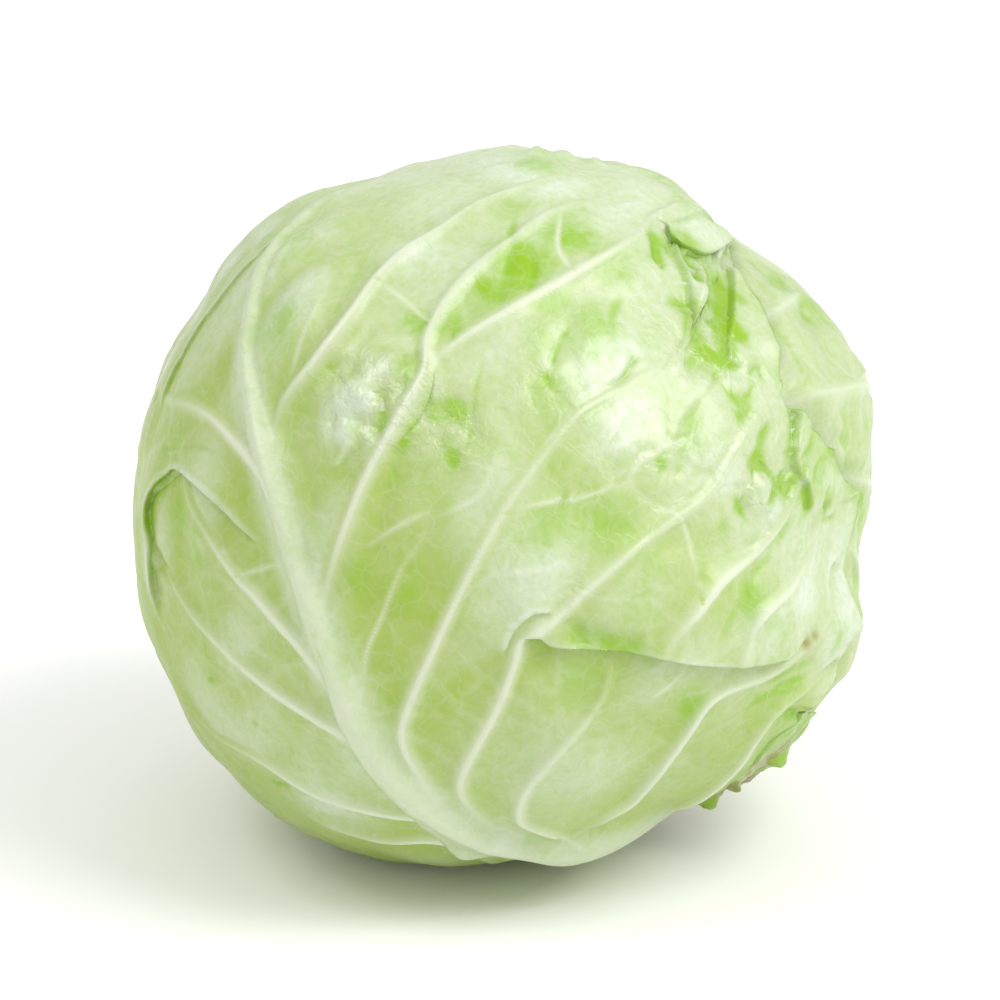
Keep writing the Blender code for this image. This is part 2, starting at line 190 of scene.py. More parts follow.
def lay_colours(add, base, *layers):
    """Colours laid over a base colour one after another, each by its share."""
    below = {}
    for colour, share in layers:
        settings = {"data_type": "RGBA", 6: linear(base), 7: linear(colour)}
        below = {6: add("Mix", settings, {0: share, **below}, 2)}
    return below[6]


def put_in_scene(name, data):
    """A new object for a mesh, a lamp or a lens."""
    made = bpy.data.objects.new(name, data)
    bpy.context.scene.collection.objects.link(made)
    return made


def make_object(name, shape, finish):
    """An object of the shape, in one material."""
    mesh = bpy.data.meshes.new(name)
    shape.to_mesh(mesh)
    shape.free()
    mesh.materials.append(finish)
    mesh.shade_smooth()
    return put_in_scene(name, mesh)


def finish_piece(name, shape, finish, *nodes, slot=None):
    """A finished piece, which stands for CAD nodes and rides with the head."""
    made = make_object(name, shape, finish)
    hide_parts(*nodes)
    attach(made, "root")
    return made


def heart_leaf():
    """Young leaf: cream to pale yellow-green, waxy, with fine whitish veins that hardly stand out."""
    made, shader, add = new_finish("young_leaf", "#DDE2B4", 0.42)
    place = add("TexCoord", {}, output="Object")
    blotch = add("TexNoise", {"Scale": per(22), "Detail": 3.0}, {"Vector": place})
    veins = add("TexVoronoi", {"feature": "DISTANCE_TO_EDGE", "Scale": per(9)}, {"Vector": place})
    line = add("MapRange", {"From Max": 0.08, "To Min": 1.0, "To Max": 0.0}, {"Value": veins})
    colour = lay_colours(add, "#D2DD9C", ("#E4E6BE", blotch), ("#EEF0DA", line))
    bump = add("Bump", {"Strength": 0.3, "Distance": 0.3 * MM}, {"Height": line})
    link_up(made, shader, {"Base Color": colour, "Normal": bump})
    return made


shape = bmesh.new()
bmesh.ops.create_icosphere(shape, subdivisions=6, radius=1)
rays = unit(np.array([vertex.co for vertex in shape.verts]))
crown_side = unit(np.cross(STUMP, UP))
crown_turn = np.arctan2(rays @ np.cross(STUMP, crown_side), rays @ crown_side)
from_stump = stump_angle(rays)
seat = ramp(*SEAT_ANGLES, from_stump)
radius = lay(rays, HEART_DEPTH)
for start, wind in HEART_FOLDS:
    past_edge = (crown_turn - start + wind * np.cos(from_stump / 1.4)) % (2 * math.pi)
    radius -= YOUNG_EDGE * (ramp(0.03, 0.0, past_edge) + ramp(0.0, 2.0, past_edge))
radius -= YOUNG_PUCKER * np.abs(ripple(rays, YOUNG_PUCKER_SIZE, 3))
radius += (HEART_SEAT - radius) * seat
for vertex, direction, distance in zip(shape.verts, rays, radius):
    vertex.co = (direction * distance + (0, 0, REST_HEIGHT)) * MM
finish_piece("dense_heart", shape, heart_leaf(), "heart", slot="heart_leaf")


# The stump: what is left of the stalk where the head was cut from its root, woody and fibrous. The leaves and
# the heart grow from it. A ring of strand ends shows in the cut, which has dried and browned at its rim.
STUMP_FACE = 84.0
STUMP_RIM = (13.2, 14.8)  # the dried rim starts and is full at these radii
STRAND_RING = 10.4
STRAND_BREADTH = 1.3
STRAND_HEIGHT = 0.45
SCAR_DEPTH = 0.25
# Radius, and height over the cut face
STUMP_PROFILE = [
    (0, -0.7), (2, -0.8), (4, -0.6), (6, -0.5), (8, -0.7), (9, -0.5), (10, -0.2), (11.2, -0.1),
    (12.4, -0.3), (13.6, -0.2), (14.4, -0.5), (14.9, -1.1), (15, -2.2), (14.8, -4), (14.5, -7), (14, -10),
    (13.4, -13), (13, -16),
]
STUMP_STEPS = 96
STRANDS = 17


def cut_stalk():
    """Cut stalk: pale cream pith, a greener woody ring with strand ends, and a dried tan rim."""
    made, shader, add = new_finish("cut_stalk", "#DAD6AE", 0.62)
    place = add("TexCoord", {}, output="Object")
    rim = add("Attribute", {"attribute_name": "rim"}, output="Fac")
    ring = add("Attribute", {"attribute_name": "ring"}, output="Fac")
    fibre = add("TexNoise", {"Scale": per(1.6), "Detail": 4.0}, {"Vector": place})
    blotch = add("TexNoise", {"Scale": per(8), "Detail": 3.0}, {"Vector": place})
    colour = lay_colours(add, "#E6E3C4", ("#D3D2A2", blotch), ("#B9BE7C", ring), ("#A98D58", rim))
    bump = add("Bump", {"Strength": 0.5, "Distance": 0.4 * MM}, {"Height": fibre})
    link_up(made, shader, {"Base Color": colour, "Normal": bump})
    return made


def mark(piece, **shares):
    """Stores a share for each vertex under each name, for the material to read."""
    for name, values in shares.items():
        made = piece.data.attributes.new(name, "FLOAT", "POINT")
        made.data.foreach_set("value", np.maximum(values, 0).astype(np.float32))


shape = bmesh.new()
profile = smooth_line(STUMP_PROFILE, steps=2)
line = [shape.verts.new((max(x, 0), 0, z)) for x, z in profile]
edges = [shape.edges.new(pair) for pair in zip(line, line[1:])]
bmesh.ops.spin(
    shape, geom=line + edges, cent=(0, 0, 0), axis=(0, 0, 1), angle=2 * math.pi, steps=STUMP_STEPS,
    use_merge=True,
)
bmesh.ops.remove_doubles(shape, verts=shape.verts, dist=0.01)
bmesh.ops.holes_fill(shape, edges=[edge for edge in shape.edges if edge.is_boundary])
bmesh.ops.recalc_face_normals(shape, faces=shape.faces)
spots = np.array([vertex.co for vertex in shape.verts])
from_axis = np.hypot(spots[:, 0], spots[:, 1])
turn = np.arctan2(spots[:, 1], spots[:, 0])
on_side = ramp(-1.0, -4.0, spots[:, 2])
strand_ring = bell(from_axis - STRAND_RING - 0.5 * np.sin(3 * turn), STRAND_BREADTH) * (1 - on_side)
strand = strand_ring * (0.5 + 0.5 * np.cos(STRANDS * turn + 1.4 * np.sin(2 * turn))) ** 3
down = spots[:, 2]
scars = on_side * (np.sin(11 * turn + 0.4 * down) + 0.6 * np.sin(23 * turn + 2 * np.sin(0.5 * down)))
for vertex, spot, lift, scar, away in zip(shape.verts, spots, strand, scars, from_axis):
    out = STUMP * (STUMP_FACE + spot[2] + STRAND_HEIGHT * lift)
    widen = 1 - SCAR_DEPTH * (1 - scar / 1.6) / max(away, 1)
    side = crown_side * spot[0] * widen + np.cross(STUMP, crown_side) * spot[1] * widen
    vertex.co = (out + side + (0, 0, REST_HEIGHT)) * MM
bmesh.ops.recalc_face_normals(shape, faces=shape.faces)
stump = finish_piece("stump", shape, cut_stalk(), "stem", slot="cut_stump")
mark(
    stump, ring=0.6 * strand_ring + 0.7 * strand + 0.3 * on_side,
    rim=0.8 * ramp(*STUMP_RIM, from_axis) * (1 - 0.6 * on_side) + 0.25 * on_side,
)


# The wrapper leaves: broad, thick blades grown from the stump, each with a fleshy white midrib and side ribs
# on its outer face, a net of veins between them, and a thin waved margin. Those at the back, the right and
# the left lie under the front leaf.
BLADE_THICKNESS = 0.75
MARGIN_THICKNESS = 0.35
LAYER_PITCH = 1.9  # from one leaf down to the next
EDGE_RISE = 14.0  # distance over which a leaf comes up past the edge of one that lies over it
STUMP_CLEAR = 11.6  # degrees from the stump's middle to a leaf's base
WAVE_FADE = 9.0  # how far in from the edge its waves run
RAGGED_FADE = 12  # how fast the pull of a torn tip on the blade dies out inwards
LOBES = ((23, 1.0, 1.0), (37, 0.6, 2.0), (61, 0.4, 0.0))  # how many round an edge, share and start
# Each kind of rib: half width at its root and tip, height at both, and share of the width that is white
PLAIN_MIDRIB = (6.2, 2.0, 4.2, 1.2, 0.7)
PLAIN_SIDE_RIB = (2.4, 1.3, 1.9, 0.8, 0.55)
PLAIN_BRANCH = (1.3, 1.0, 0.5, 0.3, 0.5)
RIB_SHOULDER = 3.0  # a rib's broad foot is this many times as wide as the rib
RIB_CREST = 1.3
RIB_RISE = (0.05, 0.26)  # shares of its length over which a rib grows to its full height
RIB_FAR = 4.0  # what a point far from every rib reads, in widths of the white band
BESIDE_RIBS = (0.8, 3.0)  # widths of a rib's white band over which the blade's own relief sets in
RIB_PAIRS = 7
RIB_ROOTS = (0.86, 0.62)  # lowest and highest side rib, as shares of the way to a leaf's base and tip
RIB_SPREAD = 1.12  # how far side ribs run aside, in radians
RIB_SWEEP = (0.25, 0.55)  # how far they run on towards the tip, evenly and then more and more
RIB_SWAY = (0.06, 1.7, 0.5)  # a midrib's bend: how far, how many waves, and where it starts
MIDRIB_END = 0.93
BRANCH_PLACES = (0.35, 0.6, 0.8)
BRANCH_LENGTH = 0.16
NET_CELL = 15.0  # across the fields between the finer veins
NET_VEIN = 1.0
NET_HEIGHT = 0.22
NET_BEND = 0.018
NET_BEND_SIZE = 12
NET_PATCHES = 30  # across the parts of a leaf where the finer veins show more or less
NET_FIELD_RIM = 3.2
BLISTER = 0.45  # how high the fields between the veins swell
SEEN_KNEE = 0.96  # share of the outline past which points of the front view run on round the back
CREST_SHARE = 0.55  # of a rib's height, over its broad foot
FAINTEST_ROOT = 0.2  # share of its height and whiteness that a rib has where it leaves its midrib


def swayed(rays, amount, size, seed):
    """Rays moved aside at random by about this share of the head's radius, in waves of this size."""
    sway = [ripple(rays, size, seed + number) for number in range(3)]
    return unit(rays + amount * np.stack(sway, axis=1))


def turned(middle, ahead, left, angle, distance):
    """Rays this far from the middle one in radians, at an angle from the way ahead to the left."""
    flat = np.cos(angle)[..., None] * ahead + np.sin(angle)[..., None] * left
    return np.sin(distance)[..., None] * flat + np.cos(distance)[..., None] * middle


def seen(points):
    """Rays to points seen in the front view, in mm right of and above the head's middle."""
    across, up = np.array(points, float).T
    angle = np.arctan2(up, across)
    share = np.hypot(across, up) / outline(angle)
    near_eye = HEAD_RADIUS / VIEW_DISTANCE
    inside = np.minimum(share, SEEN_KNEE)
    turn = np.arcsin(inside / np.sqrt(1 + (inside * near_eye) ** 2)) - np.arctan(inside * near_eye)
    turn = turn + (share - inside) * (1 / math.sqrt(1 - SEEN_KNEE**2) - near_eye)
    return turned(FRONT, RIGHT, UP, angle, turn)


def line_seen(points):
    return unit(smooth_line(seen(points)))


class Trace:
    """Where rays lie beside a line on the head: `gap` in mm, `share` of the line's length where it is
    nearest, `offset`, the gap with a plus on the line's left seen from outside, and `left`, that way."""

    def __init__(self, rays, line):
        steps = np.diff(line, axis=0)
        lengths = np.linalg.norm(steps, axis=1)
        run = np.concatenate([[0], np.cumsum(lengths)])
        nearest = np.argmax(rays @ line.T, axis=1)
        gap = np.full(len(rays), np.inf)
        share, side = np.zeros(len(rays)), np.zeros(len(rays))
        ahead = np.zeros((len(rays), 3))
        for number in (np.clip(nearest - 1, 0, len(steps) - 1), np.clip(nearest, 0, len(steps) - 1)):
            step, offset = steps[number], rays - line[number]
            along = np.clip((offset * step).sum(axis=1) / lengths[number] ** 2, 0, 1)
            distance = np.linalg.norm(offset - along[:, None] * step, axis=1)
            closer = distance < gap
            gap[closer] = distance[closer]
            share[closer] = ((run[number] + along * lengths[number]) / run[-1])[closer]
            ahead[closer] = unit(step)[closer]
            side[closer] = np.sign((np.cross(step, offset) * line[number]).sum(axis=1))[closer]
        self.gap = gap * HEAD_RADIUS
        self.share = share
        self.offset = self.gap * side
        self.left = np.cross(rays, ahead)

    def ends(self, part):
        """1 along the line, dying out over this part of it at each end."""
        return ramp(0, part, self.share) * ramp(1, 1 - part, self.share)

    def ridge(self, breadth):
        """Share of a rounded ridge that narrows and runs out at both ends."""
        ends = self.ends(0.3)
        return bell(self.gap, breadth * (0.35 + 0.65 * ends)) * ends


class Net:
    """The net of finer veins: lines midway between scattered points, bent a little."""

    def __init__(self, rays, cell, seed):
        count = round(4 * math.pi * (HEAD_RADIUS / cell) ** 2)
        points = unit(np.random.default_rng(seed).normal(size=(count, 3)))
        bent = swayed(rays, NET_BEND, NET_BEND_SIZE, seed + 1)
        closeness = bent @ points.T
        order = np.argpartition(-closeness, 2, axis=1)[:, :2]
        first, second = points[order[:, 0]], points[order[:, 1]]
        apart = np.linalg.norm(first - second, axis=1)
        self.gap = np.abs(((first - second) * bent).sum(axis=1)) / apart * HEAD_RADIUS
        self.fade = 0.5 + 0.5 * np.tanh(1.5 * ripple(rays, NET_PATCHES, seed + 9))

    def vein(self):
        return bell(self.gap, NET_VEIN) * self.fade

    def field(self):
        return 1 - bell(self.gap, NET_FIELD_RIM)


class Leaf:
    """A leaf laid over the head round its middle ray, with its tip pointing away from the stump. Its
    edge is a loop of rays with torn tips and notches; `over` are the leaves that lie over it, and it
    comes up from under them over the distance `rise`."""

    def __init__(self, middle, edge, ruffle, over, tears=(), rise=EDGE_RISE):
        self.middle = unit(np.array(middle, float))
        self.tip = unit(self.middle * (self.middle @ STUMP) - STUMP)
        self.left = np.cross(self.middle, self.tip)
        self.ruffle = ruffle
        self.over = over
        self.tears = tears
        self.rise = rise
        angle, reach = self.polar(edge(self))
        order = np.argsort(angle)
        self.angles, self.reaches = angle[order], reach[order]

    def polar(self, rays):
        """Angle about the leaf's middle, from its tip to the left, and distance from it in radians."""
        angle = np.arctan2(rays @ self.left, rays @ self.tip)
        return angle, np.arccos(np.clip(rays @ self.middle, -1, 1))

    def direction(self, angle, distance):
        return turned(self.middle, self.tip, self.left, angle, distance)

    def smooth_reach(self, angle):
        return np.interp(angle, self.angles, self.reaches, period=2 * math.pi)

    def ragged(self, angle):
        """How far shallow lobes and torn tips reach past the smooth edge."""
        past = self.ruffle * sum(share * np.sin(count * angle + start) for count, share, start in LOBES)
        for across, up, half_width, height in self.tears:
            at, away = self.polar(seen([(across, up)]))
            aside = np.abs((angle - at + math.pi) % (2 * math.pi) - math.pi) * np.sin(away) * HEAD_RADIUS
            past = past + height * np.clip(1 - aside / half_width, 0, 1)
        return past / HEAD_RADIUS

    def reach(self, angle):
        return self.smooth_reach(angle) + self.ragged(angle)

    def inside(self, rays):
        """Distance in mm from the edge, inwards."""
        angle, distance = self.polar(rays)
        return (self.reach(angle) - distance) * HEAD_RADIUS

    def cover(self, rays, rise):
        """1 under the leaf, and down to 0 a little way outside its edge."""
        return ramp(rise, 1.0, -self.inside(rays))

    def covers(self, rays):
        return sum((leaf.cover(rays, self.rise) for leaf in self.over), np.zeros(len(rays)))

    def bare(self, rays):
        """1 where nothing lies over the leaf."""
        bare = [1 - leaf.cover(rays, self.rise) for leaf in self.over]
        return np.prod([np.ones(len(rays)), *bare], axis=0)

    def hem(self, rays, breadth):
        """1 at the edge, dying out inwards over so many mm."""
        return np.exp(-np.maximum(self.inside(rays), 0) / breadth)

    def edge_wave(self, rays, height, waves):
        """Height of the waves that the edge rises and falls in, outwards only."""
        angle, _ = self.polar(rays)
        wave = 0.5 + 0.5 * np.sin(waves * angle + 2 * np.sin(3 * angle))
        return height * wave * self.hem(rays, WAVE_FADE)


# What a leaf's material reads at each point: how near the next rib is, in widths of its white band, how white
# that rib is, and shares of a finer vein, of green (the leaf's blotches and painted shade), of pale (paler leaf
# and painted sheen and highlights), a wet pucker and a brown stain
LEAF_MARKS = ("rib", "white", "vein", "green", "pale", "pucker", "stain")


class Form:
    """What gives a leaf its shape and colour at some rays: `fold`, height of both its faces; `flesh`,
    height of the outer face alone; `shift`, how far it is pushed sideways; `detail`, 1 where its mesh is
    finer; and the marks that its material reads."""

    def __init__(self, leaf, rays):
        self.rays = rays
        self.shift = np.zeros((len(rays), 3))
        for part in ("fold", "flesh", "detail", *LEAF_MARKS):
            setattr(self, part, np.zeros(len(rays)))
        self.rib += RIB_FAR

    def add_rib(self, line, form, white=1.0, lean=0.0):
        """A tapering fleshy rib on its broad foot, steeper on its left at the root where it leans."""
        trace = Trace(self.rays, line)
        root_width, tip_width, root_height, tip_height, band = form
        width = root_width + (tip_width - root_width) * trace.share
        height = root_height + (tip_height - root_height) * trace.share
        root = FAINTEST_ROOT + (1 - FAINTEST_ROOT) * ramp(*RIB_RISE, trace.share)
        height = height * root * ramp(1, 0.8, trace.share)
        gap = trace.gap * (1 + lean * (trace.offset > 0) * (1 - trace.share))
        crest = np.clip(1 - (gap / (RIB_CREST * width)) ** 2, 0, 1) ** 2
        foot = np.clip(1 - (gap / (RIB_SHOULDER * width)) ** 2, 0, 1) ** 2
        self.flesh = np.maximum(self.flesh, height * (CREST_SHARE * crest + (1 - CREST_SHARE) * foot))
        ratio = trace.gap / (band * width)
        closer = ratio < self.rib
        self.rib[closer] = ratio[closer]
        self.white[closer] = (white * root * ramp(1.05, 0.35, trace.share))[closer]
        self.add_detail(trace.gap, 1.5 * width + 1.0)

    def add_detail(self, gap, reach):
        """The mesh is finer this far from a line."""
        self.detail = np.maximum(self.detail, gap < reach)

    def add_net(self, cell, seed, amount=1.0):
        """The net of veins, with the fields between them a little swollen."""
        net = Net(self.rays, cell, seed)
        flat = ramp(*BESIDE_RIBS, self.rib)
        self.flesh += amount * (NET_HEIGHT * net.vein() + BLISTER * net.field() * flat)
        self.vein = np.maximum(self.vein, amount * net.vein())


def plain_edge(tip, side, shoulder):
    """Edge of a leaf this many degrees from its middle at tip, sides and shoulders. It ends at the stump."""

    def edge(leaf):
        base = math.degrees(math.acos(leaf.middle @ STUMP)) - STUMP_CLEAR
        half = [(0, tip), (35, tip), (70, side), (105, side), (135, shoulder), (160, base + 2), (172, base)]
        loop = half + [(360 - angle, reach) for angle, reach in half[:0:-1]]
        angle, reach = np.radians(loop).T
        flat = smooth_line(np.stack([reach * np.cos(angle), reach * np.sin(angle)], axis=1), closed=True)
        return leaf.direction(np.arctan2(flat[:, 1], flat[:, 0]), np.hypot(flat[:, 0], flat[:, 1]))

    return edge


def edge_seen(points):
    """Edge of a leaf given as points of the front view."""
    return lambda leaf: unit(smooth_line(seen(points), closed=True))


def plain_ribs(leaf):
    """Lines of a leaf's midrib and side ribs, which leave it by turns left and right and sweep to the tip."""
    base, tip = leaf.reach(np.array([math.pi, 0.0]))
    bend, waves, start = RIB_SWAY
    even, more = RIB_SWEEP
    lowest, highest = RIB_ROOTS

    def at(along, aside):
        aside = aside + bend * np.sin(along * waves + start)
        return leaf.direction(np.arctan2(aside, along), np.hypot(along, aside))

    run = np.linspace(0, 1, 17)
    side_ribs = []
    for number in range(2 * RIB_PAIRS):
        side = 1 if number % 2 else -1
        root = (base + highest * tip) * number / (2 * RIB_PAIRS) - lowest * base
        spread = RIB_SPREAD * run**0.85 * math.cos(0.6 * root)
        side_ribs.append(at(root + even * run + more * run**1.6, side * spread))
    return at(np.linspace(-base, MIDRIB_END * tip, 28), 0.0), side_ribs


WRINKLE_MEAN = 0.55  # taken off blisters and creases, so that on average they don't swell a leaf
DENTS = [(1.0, 15, 22, (0.3, 1)), (0.6, 7, 23, (0.3, 1))]  # a plain leaf's: height, size, seed and way
PLAIN_SWELLS = [(0.7, 26, 20), (0.3, 11, 21)]
PLAIN_WAVES = (2.6, 17)  # height of an edge's waves, and how many go round it
STUMP_WHITE = (0.75, 0.2)  # a leaf pales between these angles from the stump
MOST_SHEEN = 0.7
VEIN_SWAY = 9.0  # how far the net of the material is bent
DRIED_BROWN = "#857628"


def painted_sheen(rays):
    """Share of the painted sheen, a whitish cast that is stronger towards the crown and the right, where the
    light falls and reflects.
    """
    way = unit(RIGHT + 1.2 * UP)
    return MOST_SHEEN * ramp(-0.6, 0.8, rays @ way + 0.15 * ripple(rays, 16, 54))


def wrinkles(rays, height, size, seed, along):
    """Blisters with sharp creases between them, drawn out along a way of the front view."""
    way = unit(along[0] * RIGHT + along[1] * UP)
    drawn_out = rays - 0.6 * (rays @ way)[:, None] * way
    return height * (np.abs(ripple(drawn_out, size, seed)) - WRINKLE_MEAN)


def patches(rays, spots):
    """Share or height of soft round patches, given as middle, radius and strength."""
    total = np.zeros(len(rays))
    for across, up, size, strength in spots:
        gap = np.linalg.norm(rays - seen([(across, up)]), axis=1) * HEAD_RADIUS
        total = np.maximum(total, strength * bell(gap, size))
    return total


def plain_form(seed, swells=()):
    """Form of a leaf that the front view mostly hides: its ribs, net, soft dents, swells and waved edge."""

    def form(leaf, rays):
        made = Form(leaf, rays)
        midrib, side_ribs = plain_ribs(leaf)
        made.add_rib(midrib, PLAIN_MIDRIB, 0.8)
        for line in side_ribs:
            made.add_rib(line, PLAIN_SIDE_RIB, 0.7)
            for part in BRANCH_PLACES:
                start = line[round(part * (len(line) - 1))]
                turn = unit(leaf.tip + 0.5 * start)
                run = np.linspace(0, BRANCH_LENGTH, 6)[:, None]
                made.add_rib(unit(start + run * turn), PLAIN_BRANCH, 0.5)
        made.add_net(NET_CELL, seed)
        dents = sum(wrinkles(rays, high, size, seed + turn, way) for high, size, turn, way in DENTS)
        dents *= ramp(*BESIDE_RIBS, made.rib)
        made.fold += sum(high * ripple(rays, size, seed + turn) for high, size, turn in PLAIN_SWELLS) + dents
        made.fold += patches(rays, swells)
        # painted shade as green in the dents' hollows
        made.green += 0.5 * ramp(0.2, 0.8, -dents)
        made.fold = np.maximum(made.fold + 1.0, 0) + leaf.edge_wave(rays, *PLAIN_WAVES)
        made.green += 0.15 + 0.3 * ripple(rays, 24, seed + 30)
        made.green += 0.4 * leaf.hem(rays, 5)
        made.pale += 0.8 * ramp(*STUMP_WHITE, stump_angle(rays))
        # painted sheen: the blade is paled towards the crown and the right, where the light falls
        made.pale = np.maximum(made.pale, painted_sheen(rays))
        return made

    return form


def leaf_blade(name, blade, deep, pale, white, gloss):
    """Wrapper leaf: a waxy blade of yellow-green, greener in blotches and in painted shade, with a painted
    sheen and painted highlights that grey it a little, whitish ribs and a fine net of pale veins that stand out
    from its outer face."""
    made, shader, add = new_finish(name, blade, gloss)
    place = add("TexCoord", {}, output="Object")
    share = {part: add("Attribute", {"attribute_name": part}, output="Fac") for part in LEAF_MARKS}
    sway = add("TexNoise", {"Scale": per(8), "Detail": 3.0}, {"Vector": place}, "Color")
    bend = {"operation": "MULTIPLY_ADD", 1: (VEIN_SWAY * MM,) * 3}
    bent = {"Vector": add("VectorMath", bend, {0: sway, 2: place})}
    patchy = {"Scale": per(19), "Detail": 4.0, "Roughness": 0.55}
    blotch = add("TexNoise", patchy, {"Vector": place})
    scattered = {"From Min": 0.42, "From Max": 0.7, "To Max": 0.45}
    blotch = add("MapRange", scattered, {"Value": blotch})
    net = add("TexVoronoi", {"feature": "DISTANCE_TO_EDGE", "Scale": per(6.5)}, bent)
    net = add("MapRange", {"From Max": 0.06, "To Min": 1.0, "To Max": 0.0}, {"Value": net})
    fine = add("TexNoise", {"Scale": per(2.2), "Detail": 5.0, "Roughness": 0.6}, bent)
    crimp = add("TexNoise", {"Scale": per(5), "Detail": 2.0, "Distortion": 1.2}, bent)
    creased = {
        "noise_type": "RIDGED_MULTIFRACTAL", "normalize": False, "Scale": per(7.5), "Detail": 2.5,
        "Roughness": 0.5, "Lacunarity": 2.1, "Offset": 1.0, "Gain": 1.6,
    }
    wrinkle = add("TexNoise", creased, bent)
    wrinkle = add("MapRange", {"From Min": 0.6, "From Max": 2.2}, {"Value": wrinkle})

    # Green blotches and painted shade with ragged edges, a fine mottle, and pale lines of the net where it
    # isn't broken off
    green = add("Math", {"operation": "ADD"}, {0: share["green"], 1: blotch})
    ragged = add("Math", {"operation": "MULTIPLY_ADD", 1: 0.6, 2: -0.3}, {0: crimp})
    green = add("Math", {"operation": "ADD"}, {0: green, 1: ragged})
    soft = {"interpolation_type": "SMOOTHSTEP"}
    green = add("MapRange", {**soft, "From Max": 1.15}, {"Value": green})
    mottle = add("MapRange", {"From Min": 0.35, "From Max": 0.75, "To Max": 0.35}, {"Value": fine})
    broken = add("Math", {"operation": "MULTIPLY"}, {0: net, 1: crimp})
    broken = add("Math", {"operation": "MULTIPLY_ADD", 1: 0.4}, {0: wrinkle, 2: broken})
    faint = add("Math", {"operation": "MULTIPLY", 1: 0.22}, {0: broken})
    thin = add("Math", {"operation": "MULTIPLY", 1: 0.35}, {0: share["vein"]})
    # A rib is whitest along its crest, and its white fades out over its foot
    band = {**soft, "From Min": 0.1, "From Max": 2.6, "To Min": 1.0, "To Max": 0.0}
    band = add("MapRange", band, {"Value": share["rib"]})
    crest = {**soft, "From Min": 0.15, "From Max": 0.9, "To Min": 0.45, "To Max": 0.0}
    crest = add("MapRange", crest, {"Value": share["rib"]})
    band = add("Math", {"operation": "MULTIPLY_ADD", 1: 0.7}, {0: band, 2: crest})
    band = add("Math", {"operation": "MULTIPLY"}, {0: band, 1: share["white"]})
    # The pale share lays paler leaf with painted sheen and highlights, and the green share lays blotches with
    # painted shade
    colour = lay_colours(
        add, blade, (pale, share["pale"]), (deep, green), (deep, mottle), (pale, faint), (white, thin),
        (white, band), (DRIED_BROWN, share["stain"]),
    )

    # Relief too fine for the mesh, deeper and wetter where the blade is puckered
    depth = add("Math", {"operation": "MULTIPLY_ADD", 1: 1.1, 2: 0.12}, {0: share["pucker"]})
    relief = add("Math", {"operation": "ADD"}, {0: crimp, 1: wrinkle})
    relief = add("Math", {"operation": "MULTIPLY"}, {0: relief, 1: depth})
    for lines, height in ((net, 0.06), (fine, 0.12)):
        relief = add("Math", {"operation": "MULTIPLY_ADD", 1: height}, {0: lines, 2: relief})
    bump = add("Bump", {"Strength": 0.6, "Distance": 1.0 * MM}, {"Height": relief})
    rough = add("MapRange", {"To Min": gloss - 0.08, "To Max": gloss + 0.10}, {"Value": fine})
    rough = add("Math", {"operation": "MULTIPLY_ADD", 1: -0.2}, {0: share["pucker"], 2: rough})
    wet = add("Math", {"operation": "MULTIPLY_ADD", 1: 0.6, 2: 0.15}, {0: share["pucker"]})
    link_up(made, shader, {"Base Color": colour, "Normal": bump, "Roughness": rough, "Coat Weight": wet})
    shader.inputs["IOR"].default_value = 1.45
    shader.inputs["Coat Roughness"].default_value = 0.18
    return made


def spread(leaf, made):
    """Rays on which a square blank's vertices lie when it is drawn out to the leaf's edge."""
    blank = np.array([vertex.co for vertex in made])
    x = blank[:, 0] * np.sqrt(1 - blank[:, 1] ** 2 / 2)
    y = blank[:, 1] * np.sqrt(1 - blank[:, 0] ** 2 / 2)
    angle, share = np.arctan2(y, x), np.hypot(x, y)
    return leaf.direction(angle, share * leaf.smooth_reach(angle) + share**RAGGED_FADE * leaf.ragged(angle))


def lay_face(shape, leaf, form, cells, outer):
    """One face of a leaf, laid over the head. The outer face is finer along its ribs and folds."""
    made = bmesh.ops.create_grid(shape, x_segments=cells, y_segments=cells, size=1)["verts"]
    rays = spread(leaf, made)
    if outer:
        detail = form(leaf, rays).detail * leaf.bare(rays) > 0.5
        fine = {vertex for vertex, near in zip(made, detail) if near}
        edges = [edge for edge in shape.edges if fine.issuperset(edge.verts)]
        bmesh.ops.subdivide_edges(shape, edges=edges, cuts=1, use_grid_fill=True)
        made = list(shape.verts)
        rays = spread(leaf, made)
    formed = form(leaf, rays)
    bare = leaf.bare(rays)
    depth = LAYER_PITCH * leaf.covers(rays)
    thickness = BLADE_THICKNESS + (MARGIN_THICKNESS - BLADE_THICKNESS) * leaf.hem(rays, 3)
    if outer:
        radius = lay(rays, depth, (formed.fold + formed.flesh) * bare)
    else:
        radius = lay(rays, depth + thickness, formed.fold * bare)
    spots = rays * radius[:, None] + formed.shift * bare[:, None] + (0, 0, REST_HEIGHT)
    for vertex, spot in zip(made, spots):
        vertex.co = spot * MM
    return formed


def add_leaf(name, node, leaf, form, cells, finish, slot):
    """A leaf: a fine outer face and a coarser inner one, joined round the edge."""
    shape = bmesh.new()
    formed = lay_face(shape, leaf, form, cells, True)
    outer_rim = [edge for edge in shape.edges if edge.is_boundary]
    before = set(shape.edges)
    below = lay_face(shape, leaf, form, cells // 3, False)
    inner_rim = [edge for edge in shape.edges if edge.is_boundary and edge not in before]
    bmesh.ops.bridge_loops(shape, edges=outer_rim + inner_rim)
    bmesh.ops.recalc_face_normals(shape, faces=shape.faces)
    made = finish_piece(name, shape, finish, node, slot=slot)
    for part in LEAF_MARKS:
        mark(made, **{part: np.concatenate([getattr(formed, part), getattr(below, part)])})


def around(turn, from_crown):
    """Ray at degrees round the head from the front leaf, counterclockwise seen from the crown, and
    degrees down from the crown."""
    crown = -STUMP
    ahead = unit(FRONT - crown * (FRONT @ crown))
    return turned(crown, ahead, np.cross(crown, ahead), np.radians(turn), np.radians(from_crown))


